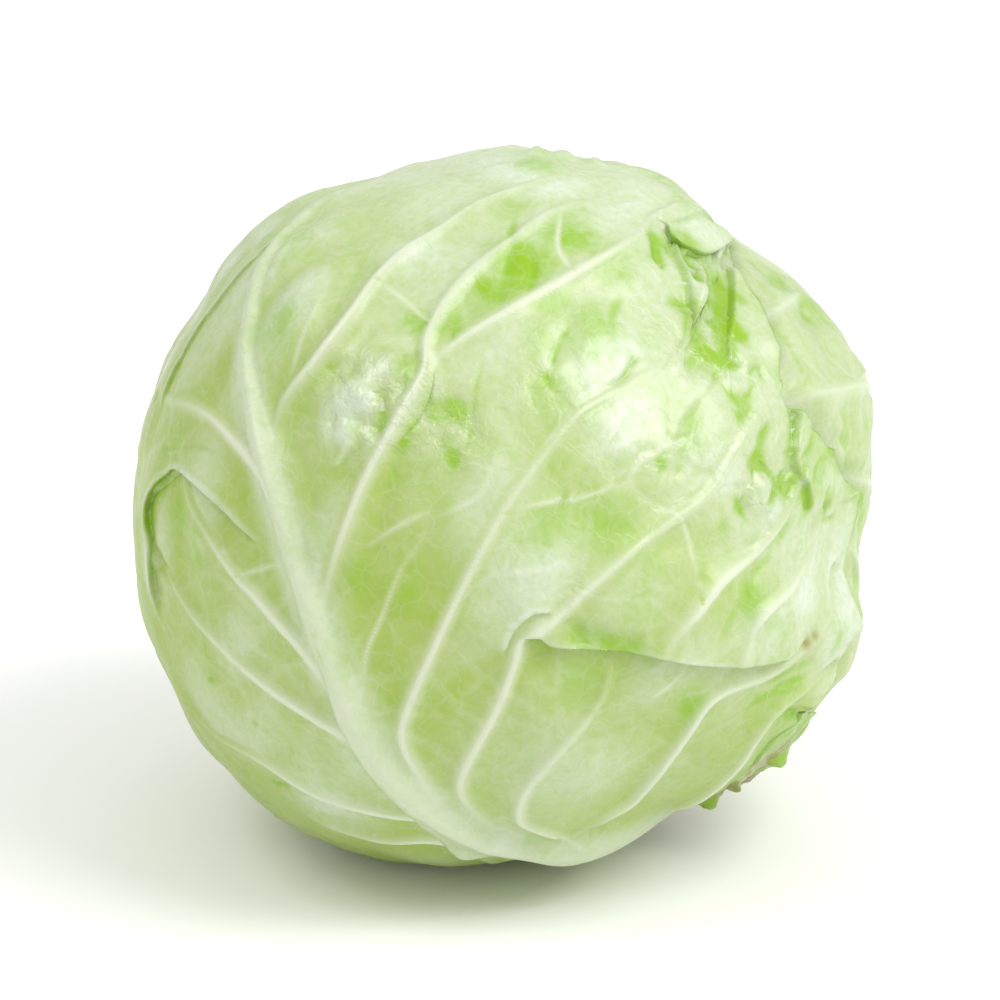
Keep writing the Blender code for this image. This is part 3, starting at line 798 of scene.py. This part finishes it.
# The front leaf: the outermost wrapper leaf, which covers most of what the front view shows. It grew from
# the stump. Its fleshy white midrib curls up the left side, and its margin is folded, crumpled and torn on
# the right.
FRONT_MIDRIB = (6.2, 1.6, 5.4, 1.4, 0.7)
FRONT_SIDE_RIB = (2.2, 1.6, 2.5, 1.1, 0.6)
FRONT_MIDRIB_LINE = [
    (46, -84), (38, -79), (25, -82), (11, -83), (-2, -80), (-15, -74), (-26, -66), (-34, -56), (-39, -46),
    (-44, -35), (-48, -23), (-52, -11), (-55, 1), (-58, 13), (-61, 26), (-62, 38), (-61, 49), (-58, 58),
    (-53, 66), (-46, 73), (-37, 79), (-27, 85),
]
FRONT_RIB_LINES = [
    [(-57, 8), (-56, 17), (-53, 26), (-45, 36), (-37, 47), (-30, 56), (-23, 62), (-15, 67), (-6, 73),
     (8, 79), (25, 83)],
    [(-42, -40), (-45, -32), (-44, -22), (-37, -2), (-32, 9), (-23, 26), (-18, 34), (-17, 43), (-8, 56),
     (3, 65), (15, 73), (31, 76)],
    [(-19, 31), (-16, 36), (-7, 42), (3, 48), (18, 57), (32, 65), (38, 72)],
    [(-2, -79), (-13, -72), (-20, -65), (-24, -57), (-23, -50), (-17, -36), (-9, -19), (0, -2), (6, 7),
     (17, 21), (24, 26), (34, 32), (47, 39)],
    [(10, -82), (-1, -77), (-8, -71), (-9, -64), (0, -46), (5, -33), (8, -28), (13, -25), (20, -20),
     (34, -8), (50, 3), (57, 12), (66, 24), (72, 28)],
    [(24, -82), (13, -79), (5, -75), (6, -68), (13, -60), (24, -46), (27, -38), (29, -33)],
    [(38, -36), (41, -32), (46, -27), (54, -17), (62, -9), (70, 0), (74, 8)],
    [(12, -82), (20, -79), (27, -74), (33, -69), (45, -54), (53, -46), (68, -40), (78, -31), (81, -15)],
    [(36, -79), (45, -72), (55, -64), (67, -50), (80, -39)],
    [(60, -34), (64, -25), (73, -13), (75, -5)],
    [(-50, -15), (-53, -5), (-58, 8), (-65, 17), (-73, 24), (-84, 28)],
    [(-37, -54), (-43, -45), (-48, -36), (-59, -23), (-65, -17), (-70, -10), (-77, 4), (-80, 9)],
    [(-22, -71), (-31, -63), (-42, -54), (-58, -43), (-72, -30), (-82, -15), (-85, -7)],
    [(-8, -79), (-17, -77), (-26, -75), (-44, -70), (-59, -61), (-75, -51)],
    [(3, -84), (-7, -83), (-17, -81), (-30, -81), (-50, -74)],
]
FRONT_VEIN = (1.2, 1.0, 0.42, 0.25, 0.5)
FRONT_VEIN_LINES = [
    [(1, -1), (7, 1), (20, 3), (31, 6), (37, 2)],
    [(31, 6), (37, 13), (47, 18)],
    [(-6, -18), (0, -15), (10, -14), (15, -13), (18, -16), (20, -19)],
    [(-34, -47), (-34, -37), (-30, -27), (-25, -15), (-20, -8), (-17, -2)],
    [(-17, -2), (-9, 1), (-4, 5), (-1, 12), (1, 19)],
    [(-17, 0), (-25, -4), (-35, -10)],
    [(35, -47), (49, -37)],
    [(-36, 18), (-40, 12), (-44, 10)],
    [(-52, 30), (-48, 44), (-40, 58)],
    [(-30, 56), (-22, 50), (-16, 44)],
    [(18, 57), (14, 64), (15, 73)],
    [(24, 26), (30, 18), (37, 13)],
    [(37, 2), (44, -4), (49, -23)],
    [(-66, -17), (-56, -14), (-50, -16)],
    [(-70, -30), (-64, -38), (-58, -43)],
]
RIGHT_FOLD_LINE = [
    (1, -32), (9, -30), (13, -31), (24, -32), (36, -34), (46, -36), (59, -37), (69, -35), (77, -31),
]
LEFT_FOLD_LINE = [
    (-83, -30), (-84, -13), (-86, -1), (-85, 4), (-82, 8), (-79, 10), (-73, 6), (-65, -3), (-58, -13),
]
HOOD_FOLD_LINE = [(36, 72), (40, 69), (42, 65), (46, 62), (50, 61), (54, 63), (57, 67)]
# Each fold: line, height, how far its lip hangs over, half breadth of the turn, how far back it dies out
FRONT_FOLDS = [
    (RIGHT_FOLD_LINE, 3.2, 3.0, 1.9, 20.0),
    (LEFT_FOLD_LINE, 2.4, 1.6, 1.6, 10.0),
    (HOOD_FOLD_LINE, 2.6, 1.6, 1.4, 8.0),
    ([(40, 69), (44, 69), (49, 69), (53, 68)], 0.8, 0.5, 1.0, 5.0),
    ([(1, -35), (3, -29), (6, -26), (9, -24), (13, -24)], 0.9, 0.8, 1.0, 6.0),
    ([(-45, -38), (-42, -46), (-37, -56), (-31, -65), (-23, -73), (-15, -80), (-7, -84), (-1, -87), (6, -89)],
     1.3, 1.1, 1.4, 9.0),
    ([(55, 60), (56, 56), (56, 48), (56, 41), (57, 34)], 2.4, 0.5, 1.2, 7.0),
    ([(42, 65), (43, 58), (45, 50), (46, 40)], 1.5, 0.4, 1.1, 5.0),
    ([(46, 39), (48, 46), (50, 54), (49, 61)], 1.3, 0.3, 1.1, 5.0),
    ([(72, 30), (73, 22), (72, 12), (74, 5), (74, -3)], 1.8, 0.5, 1.2, 6.0),
    ([(-84, 22), (-80, 34), (-73, 45), (-66, 54), (-58, 62), (-50, 68)], 0.8, 0.7, 0.8, 6.0),
    ([(-15, 35), (-17, 28), (-20, 23), (-23, 19), (-26, 15)], 0.8, 0.6, 1.0, 4.0),
]
# Each crease or ridge: line, half breadth, height, which is minus in a crease, and how deep its green painted
# shade is, which is minus for a pale painted highlight on a ridge
FRONT_CREASES = [
    ([(13, -25), (19, -28), (26, -30), (38, -32)], 2.2, -2.0, 0.7),
    ([(50, 62), (53, 55), (54, 46), (54, 34)], 2.2, -2.2, 0.7),
    ([(55, 57), (56, 52), (56, 44), (56, 37), (58, 27)], 1.0, 1.1, -0.6),
    ([(37, 70), (38, 64), (39, 56)], 1.9, -1.8, 1.0),
    ([(45, 63), (46, 57), (47, 51)], 1.7, -1.4, 0.9),
    ([(50, 46), (48, 40), (46, 32)], 1.9, -1.3, 0.7),
    ([(56, 44), (58, 36)], 1.2, -0.8, 0.8),
    ([(62, 33), (64, 35), (67, 31)], 1.2, -0.6, 0.3),
    ([(51, 29), (47, 17), (43, 5)], 2.4, -0.9, 0.5),
    ([(25, 28), (29, 31), (33, 38)], 1.0, -0.9, 0.7),
    ([(71, 29), (73, 22), (72, 14)], 1.1, -1.6, 0.9),
    ([(74, 12), (73, 7)], 1.1, -0.9, 0.6),
    ([(72, 11), (66, 3), (63, 0)], 1.5, -1.1, 0.7),
    ([(72, 8), (70, 2)], 1.0, -0.8, 0.6),
    ([(80, 7), (78, 2), (81, -1)], 1.2, -1.0, 0.8),
    ([(80, 3), (78, -3)], 0.9, -0.8, 0.7),
    ([(77, -3), (82, -2)], 1.0, -0.8, 0.6),
    ([(62, 7), (60, 0)], 1.1, 0.7, -0.5),
    ([(82, 2), (86, 4), (84, -1)], 1.2, 1.2, 0.2),
    ([(35, 68), (37, 71), (40, 72), (43, 73)], 1.1, 1.0, -0.8),
    ([(48, 60), (47, 50), (46, 41)], 1.1, 1.2, -0.8),
    ([(42, 67), (43, 60), (44, 53)], 1.3, 1.0, -0.5),
    ([(65, -52), (69, -50), (72, -50), (75, -51)], 1.6, -1.6, 1.0),
    ([(63, -44), (71, -40), (78, -37)], 1.6, -1.0, 0.6),
    ([(58, -51), (66, -46), (74, -43)], 1.4, -0.9, 0.6),
    ([(4, 74), (3, 68), (2, 60), (0, 52), (-1, 44)], 1.3, -0.5, 1.0),
    ([(-20, 47), (-16, 44), (-13, 43)], 1.5, -0.6, 1.0),
    ([(-8, 50), (-11, 42), (-12, 36)], 1.1, -0.4, 0.8),
    ([(18, 46), (14, 40), (12, 33)], 1.4, -0.5, 0.8),
    ([(30, 54), (27, 46), (28, 40)], 1.4, -0.5, 0.7),
    ([(7, 64), (8, 57), (6, 50)], 1.0, -0.4, 0.9),
    ([(13, 66), (15, 60)], 1.0, -0.4, 0.8),
    ([(52, 62), (54, 54), (55, 44), (54, 34), (50, 26)], 1.2, -1.2, 1.0),
    ([(-15, 33), (-17, 28), (-20, 23), (-22, 20), (-25, 16)], 0.7, -0.7, 1.0),
    ([(-3, 39), (-6, 27), (-7, 19), (-10, 10)], 0.9, -0.3, 0.6),
    ([(-27, -59), (-20, -68), (-12, -72), (0, -77), (10, -80), (20, -79), (27, -77), (36, -75)],
     2.2, -0.8, 0.2),
    ([(-84, 14), (-79, 15), (-73, 15), (-70, 14), (-66, 13)], 0.8, -0.5, 0.4),
    ([(-58, -67), (-51, -68)], 0.8, -0.4, 0.8),
    ([(-72, -42), (-70, -42)], 1.0, -0.3, 0.7),
    ([(-61, -52), (-59, -53)], 1.0, -0.3, 0.6),
    ([(76, -41), (70, -43), (65, -47)], 1.3, -1.0, 0.8),
    ([(66, -51), (57, -55), (53, -58)], 1.1, -0.8, 0.4),
    ([(60, -20), (56, -28), (52, -33)], 1.6, -0.6, 0.6),
    ([(72, 0), (66, -8), (60, -20)], 1.6, -0.7, 0.5),
]
# Each patch: its middle in the front view, its radius and its strength. The green patches are partly the leaf's
# own blotches and partly painted shade under sheet edges and veins; the pale ones partly paler leaf and partly
# painted sheen, as along the upper left edge
GREEN_AND_SHADE_PATCHES = [
    (5, 60, 9, 1.0), (-2, 53, 7, 0.9), (17, 67, 8, 0.8), (12, 51, 7, 0.6), (25, 60, 6, 0.6),
    (-19, 45, 5, 0.9), (-10, 47, 7, 0.6), (-22, 33, 6, 0.6), (-8, 24, 5, 0.5), (3, 73, 5, 0.5),
    (38, 66, 4, 0.9), (22, 44, 9, 0.6), (9, 42, 6, 0.5), (53, 50, 4, 0.6), (25, -4, 10, 0.5),
    (13, -4, 7, 0.5), (49, 37, 4, 0.6), (47, 17, 5, 0.5), (14, 31, 6, 0.35), (60, 24, 2, 1.0),
    (-25, -20, 9, 0.5), (-35, -18, 8, 0.4), (49, -48, 7, 0.5), (35, -25, 7, 0.4), (62, -24, 7, 0.5),
    (72, 7, 5, 0.6), (79, 1, 4, 0.7), (-86, -3, 4, 0.8), (-79, -2, 4, 0.6), (-75, -12, 4, 0.5),
    (-49, 66, 8, 0.3), (-54, 45, 6, 0.35), (-39, 69, 8, 0.3), (66, 49, 3, 0.7), (10, 84, 8, 0.5),
    (82, -30, 4, 0.6), (45, 63, 5, 0.6), (2, -60, 10, 0.2), (20, -42, 8, 0.35),
]
PALE_AND_SHEEN_PATCHES = [
    (35, 22, 14, 0.8), (18, 28, 8, 0.2), (59, -3, 9, 0.7), (37, 7, 8, 0.5), (54, -13, 7, 0.6),
    (-37, 22, 9, 0.7), (-14, 17, 6, 0.5), (-2, 27, 5, 0.5), (15, -64, 22, 0.6), (40, -64, 12, 0.4),
    (-60, -35, 26, 0.25), (-12, 69, 10, 0.4), (-21, 60, 9, 0.9), (-82, 38, 7, 1.0), (-75, 50, 7, 1.0),
    (-67, 60, 7, 1.0), (-58, 68, 6, 1.0), (15, 79, 10, 0.5), (58, 48, 8, 0.6), (30, 52, 6, 0.5),
    (40, 36, 8, 0.5), (-45, -66, 16, 0.5), (75, -20, 10, 0.8), (64, -28, 9, 1.0), (0, -80, 12, 1.0),
    (57, 8, 9, 0.9), (-20, 62, 11, 1.0), (-42, -73, 11, 1.0), (-40, 66, 8, 0.6),
]
PUCKER_PATCHES = [
    (-32, 26, 13, 1.0), (-12, 20, 9, 1.0), (15, 30, 12, 0.45), (50, 40, 14, 0.6), (65, 8, 14, 0.8),
    (42, 60, 9, 0.4), (40, 15, 12, 0.4),
]
STAINED_PATCHES = [(75, -33, 1.8, 0.8), (77, -31, 1.2, 0.6)]
PLEAT_PATCHES = [(50, 49, 9, 1.0), (73, 8, 12, 1.0), (62, -12, 10, 0.4), (40, 64, 7, 0.5), (62, 30, 9, 0.5)]
# Wrinkles: height, size, seed, and the way of the front view that they are drawn out along
PUCKERS = [(0.9, 5, 61, (-0.5, 1)), (1.1, 9, 62, (-1, 0.6))]
SOFT_PLEATS = (0.8, 13, 65, (0.7, 1))
SHARP_PLEATS = (1.7, 6, 66, (0.15, 1))
FRONT_SWELLS = [(0.45, 24, 63), (0.2, 10, 64)]
FRONT_WAVES = (1.6, 19)
FRONT_NET_SHARE = 0.6  # the front leaf's finer veins are lower than a plain leaf's
FINE_WHERE = 0.45  # the mesh is finer where a leaf is puckered or pleated more than this
PATCH_BEND = 0.010
DEEP_FOLD = 1.6  # DEEP_FOLD = 1.6 # folds this high get the full green painted shade beneath
# half breadth of the painted highlight along a fold's lip
LIP_BREADTH = 0.9
TROUGH_SHARE = 0.3  # of a fold's height, by which the blade before it sinks
# Where the margin stands off the head: middle, radius and how far
LIFTED_PATCHES = [
    (46, 70, 11, 2.5), (78, 6, 10, 1.5), (52, 66, 4, 2.2), (9, 87, 2.2, 2.0), (16, 87, 3.0, 1.6),
    (23, 85, 2.4, 2.0), (67, 40, 4, 1.4), (75, 24, 4, 1.2), (81, -53, 2.4, 2.6), (76, -57, 2.2, 2.0),
    (84, -40, 2.6, 1.8), (85, -28, 2.6, 1.6), (86, 14, 3, 1.6), (62, 66, 3, 1.5),
]
FRONT_EDGE = [
    (86, 2), (81, 12), (74, 23), (70, 31), (63, 49), (58, 56), (56, 62), (55, 68), (47, 76), (30, 84),
    (19, 90), (0, 93), (-25, 92), (-49, 84), (-75, 63), (-91, 33), (-100, 0), (-98, -36), (-84, -71),
    (-57, -99), (-30, -110), (0, -109), (23, -107), (34, -92), (47, -83), (49, -78), (53, -70), (60, -63),
    (67, -56), (73, -50), (76, -46), (80, -42), (82, -38), (84, -33), (84, -20), (83, -13),
]
# Torn tips and notches of a margin: place, half width, and how far out it reaches, which is minus in a notch
FRONT_TEARS = [
    (84, -34, 2.2, 2.0), (82, -37, 1.6, -2.0), (80, -41, 1.6, 1.4), (79, -44, 1.3, -1.6),
    (76, -46, 2.4, 1.6), (73, -49, 2.4, -3.4), (71, -52, 2.2, 2.0), (66, -56, 3.0, -1.0),
    (58, -62, 2.0, 1.0), (54, -66, 1.8, -1.4), (84, -26, 1.8, 1.6), (84, -20, 1.5, -1.6),
    (83, -12, 1.6, 1.4), (84, -5, 1.5, -1.2), (80, 14, 1.6, 1.5), (76, 20, 1.4, -1.4), (70, 31, 2.4, 1.6),
    (66, 41, 1.8, -1.6), (62, 50, 1.6, 1.2), (55, 66, 1.8, 2.0),
]


def fold_over(made, line, height, overhang, turn, reach):
    """A fold: the blade on the line's left stands up and its lip hangs over the blade on the right, with a
    painted highlight along the lip and green painted shade beneath it.
    """
    trace = Trace(made.rays, line)
    ends = trace.ends(0.15)
    step = ramp(-turn, turn, trace.offset)
    rise = step * np.exp(-trace.gap / reach) - TROUGH_SHARE * (1 - step) * np.exp(-trace.gap / (0.5 * reach))
    slide = trace.offset / turn * np.exp(0.5 * (1 - (trace.offset / turn) ** 2))
    made.fold += height * ends * rise
    made.shift -= trace.left * (overhang * ends * slide)[:, None]
    made.add_detail(trace.gap, 2 * turn + 2)
    lip = bell(trace.offset - turn, LIP_BREADTH) * ends
    under = bell(trace.offset + 0.6 * turn, 1.3 * turn) * ends
    under *= np.clip(0.75 + 0.4 * ripple(made.rays, 7, 55), 0, 1)
    # painted highlight along the lip, and green painted shade on the blade beneath it
    made.pale = np.maximum(made.pale, 0.7 * lip)
    made.green = np.maximum(made.green, 0.9 * min(height / DEEP_FOLD, 1) * under)


def front_form(leaf, rays):
    """Ribs, veins, folds, creases, puckers and patches of the front leaf."""
    made = Form(leaf, rays)
    bent = swayed(rays, PATCH_BEND, 7, 51)
    # green patches, partly painted shade; pale patches, partly painted sheen
    made.green = patches(bent, GREEN_AND_SHADE_PATCHES)
    # painted sheen towards the crown and the right, over the pale patches
    made.pale = np.maximum(patches(bent, PALE_AND_SHEEN_PATCHES), painted_sheen(rays))
    made.pucker = patches(rays, PUCKER_PATCHES)
    made.stain = patches(rays, STAINED_PATCHES)
    made.add_rib(line_seen(FRONT_MIDRIB_LINE), FRONT_MIDRIB, 0.55, 0.5)
    made.pale = np.maximum(made.pale, 0.75 * ramp(RIB_FAR, 0.6, made.rib))
    for line in FRONT_RIB_LINES:
        made.add_rib(line_seen(line), FRONT_SIDE_RIB, 0.95)
    between = ramp(*BESIDE_RIBS, made.rib)
    for line in FRONT_VEIN_LINES:
        made.add_rib(line_seen(line), FRONT_VEIN, 0.6)
    made.add_net(NET_CELL, 5, FRONT_NET_SHARE)
    for line, *sizes in FRONT_FOLDS:
        fold_over(made, line_seen(line), *sizes)
    for line, breadth, height, green in FRONT_CREASES:
        trace = Trace(rays, line_seen(line))
        ridge = trace.ridge(breadth)
        made.fold += height * ridge
        made.add_detail(trace.gap, breadth + 1.5)
        # painted shade as green in a crease, and a painted highlight as pale on a ridge
        made.green = np.maximum(made.green, green * ridge)
        made.pale = np.maximum(made.pale, -green * ridge)
    relief = made.pucker * sum(wrinkles(rays, *row) for row in PUCKERS)
    pleat = patches(rays, PLEAT_PATCHES)
    relief += (1 + pleat) * wrinkles(rays, *SOFT_PLEATS) + pleat * wrinkles(rays, *SHARP_PLEATS)
    made.fold += between * relief
    # painted shade as green in the wrinkles' hollows, and a painted highlight as pale on their tops
    made.green = np.maximum(made.green, 0.9 * between * ramp(0.25, 0.9, -relief))
    made.pale += 0.5 * np.clip(relief, 0, 1) * between
    made.fold += sum(high * ripple(rays, size, seed) for high, size, seed in FRONT_SWELLS)
    made.fold += patches(rays, LIFTED_PATCHES)
    made.detail = np.maximum(made.detail, np.maximum(made.pucker, pleat) > FINE_WHERE)
    made.fold = np.maximum(made.fold + leaf.edge_wave(rays, *FRONT_WAVES) + 0.6, 0)
    made.green = np.maximum(made.green, 0.5 * leaf.hem(rays, 2.5))
    made.green *= ramp(0.2, 1.4, made.rib)
    return made


# The torn leaf: a scrap of an older leaf left at the stump, seen past the front leaf's margin at the lower
# right. It stands off the head, and its end is ragged, brown where it has dried and vivid green elsewhere.
TORN_EDGE = [
    (46, -80), (50, -78), (55, -76), (60, -73), (65, -71), (70, -67), (76, -62), (80, -56), (79, -51),
    (70, -51), (61, -57), (54, -64), (48, -71), (44, -77),
]
TORN_TEARS = [
    (50, -79, 3.0, -2.0), (57, -75, 3.0, -5.5), (62, -73, 2.6, 2.5), (76, -62, 4.5, -4.0),
]
TORN_RISE = 4.0
TORN_LIFT = 6.0  # how far its ends stand off the head
TORN_CURL = 14.0  # how far in from its torn edge the blade turns up
TORN_ENDS = [(63, -69, 5, 1.0), (69, -64, 6, 1.0), (53, -75, 4.5, 1.0)]
TORN_WRINKLES = (0.5, 4, 71, (1, -1))
TORN_GREEN = 0.9
TORN_PUCKER = 0.4
TORN_RIB = (1.2, 0.8, 0.8, 0.3, 0.6)
DRIED_PATCHES = [(67, -62, 6, 1.2), (62, -70, 6, 1.3)]


def torn_form(leaf, rays):
    """The torn leaf stands away from the head at its ragged ends, which are rumpled."""
    made = Form(leaf, rays)
    curl = ramp(TORN_CURL, 1.0, leaf.inside(rays))
    made.fold = TORN_LIFT * curl * patches(rays, TORN_ENDS) + wrinkles(rays, *TORN_WRINKLES)
    made.fold = np.maximum(made.fold + 0.3, 0)
    along = np.linspace(-0.9, 0.8, 9) * leaf.reaches.min()
    made.add_rib(leaf.direction(np.zeros(9), along), TORN_RIB, 0.6)
    made.green += TORN_GREEN
    made.stain = patches(rays, DRIED_PATCHES) * (1.0 + 0.15 * ripple(rays, 3, 72))
    made.pucker += TORN_PUCKER
    return made


# All the leaves, from the front one inwards. Swells scallop the right one's outline, given as middle, radius
# and height.
RIGHT_SWELLS = [
    (61, 63, 4, 1.3), (69, 58, 4, 1.5), (76, 50, 4, 1.6), (82, 40, 4, 1.7), (86, 28, 4.5, 1.7),
    (89, 15, 4.5, 1.6), (89, 2, 4, 1.4), (72, 44, 5, 0.9), (79, 28, 5, 0.9),
]
front_leaf = Leaf(seen([(-10, -28)])[0], edge_seen(FRONT_EDGE), 0.5, [], FRONT_TEARS)
torn_leaf = Leaf(seen([(62, -65)])[0], edge_seen(TORN_EDGE), 0.2, [front_leaf], TORN_TEARS, TORN_RISE)
left_leaf = Leaf(around(-128, 80), plain_edge(88, 80, 86), 0.9, [front_leaf])
right_leaf = Leaf(around(98, 78), plain_edge(86, 80, 86), 0.9, [front_leaf, torn_leaf, left_leaf])
back_leaf = Leaf(around(178, 62), plain_edge(80, 84, 92), 0.9, [front_leaf, torn_leaf, left_leaf, right_leaf])

outer_blade = leaf_blade("outer_leaf_blade", "#9BAD4A", "#82AC00", "#C9D1BE", "#C9D1B6", 0.4)
under_blade = leaf_blade("under_leaf_blade", "#9BAD4E", "#82AC04", "#BCC7A8", "#C6CEB2", 0.4)
add_leaf("back_leaf", "leaf_back", back_leaf, plain_form(11), 150, under_blade, "under_leaf")
add_leaf("right_leaf", "leaf_right", right_leaf, plain_form(12, RIGHT_SWELLS), 150, under_blade, "under_leaf")
add_leaf("left_leaf", "leaf_left", left_leaf, plain_form(13), 150, outer_blade, "outer_leaf")
add_leaf("torn_leaf", "leaf_torn", torn_leaf, torn_form, 60, under_blade, "torn_leaf")
add_leaf("front_leaf", "leaf_front", front_leaf, front_form, 205, outer_blade, "outer_leaf")


# The studio: a plain white floor, a bright white surround, a large soft light from the upper right, and a
# weaker one from the left. The camera looks down on the head as the front view does.
FLOOR_SIZE = 3.0  # in metres, from its middle to its side
CAMERA_DROP = 2.2  # the head's middle lies this far below the picture's
PICTURE_WIDTH = 246.6  # at the head's middle
SENSOR = 36.0
SURROUND_STRENGTH = 0.85


def matt_white():
    """Painted floor: plain matt white."""
    return new_finish("matt_white", "#F8F8F7", 0.9)[0]


shape = bmesh.new()
bmesh.ops.create_grid(shape, x_segments=1, y_segments=1, size=FLOOR_SIZE)
floor = make_object("floor", shape, matt_white())

world = bpy.data.worlds.new("studio")
bpy.context.scene.world = world
world.use_nodes = True
surround = world.node_tree.nodes["Background"]
surround.inputs["Color"].default_value = (1, 1, 1, 1)
surround.inputs["Strength"].default_value = SURROUND_STRENGTH

# Square area lights that face the head: name, place, side and power
head_middle = Vector((0, 0, REST_HEIGHT * MM))
for name, place, size, power in (("key", (1.0, -0.5, 1.3), 1.0, 18), ("glint", (-0.8, -0.4, 1.4), 0.6, 5)):
    lamp = bpy.data.lights.new(name, "AREA")
    lamp.size = size
    lamp.energy = power
    light = put_in_scene(name, lamp)
    light.location = place
    light.rotation_euler = (Vector(place) - head_middle).to_track_quat("Z", "Y").to_euler()

lens = bpy.data.cameras.new("camera")
lens.sensor_width = SENSOR
lens.lens = SENSOR * VIEW_DISTANCE / PICTURE_WIDTH
lens.clip_start, lens.clip_end = 0.05, 20
camera = put_in_scene("camera", lens)
camera.location = Vector(FRONT * VIEW_DISTANCE + UP * CAMERA_DROP + (0, 0, REST_HEIGHT)) * MM
camera.rotation_euler = Vector(FRONT).to_track_quat("Z", "Y").to_euler()
bpy.context.scene.camera = camera
bpy.context.scene.view_settings.view_transform = "Standard"
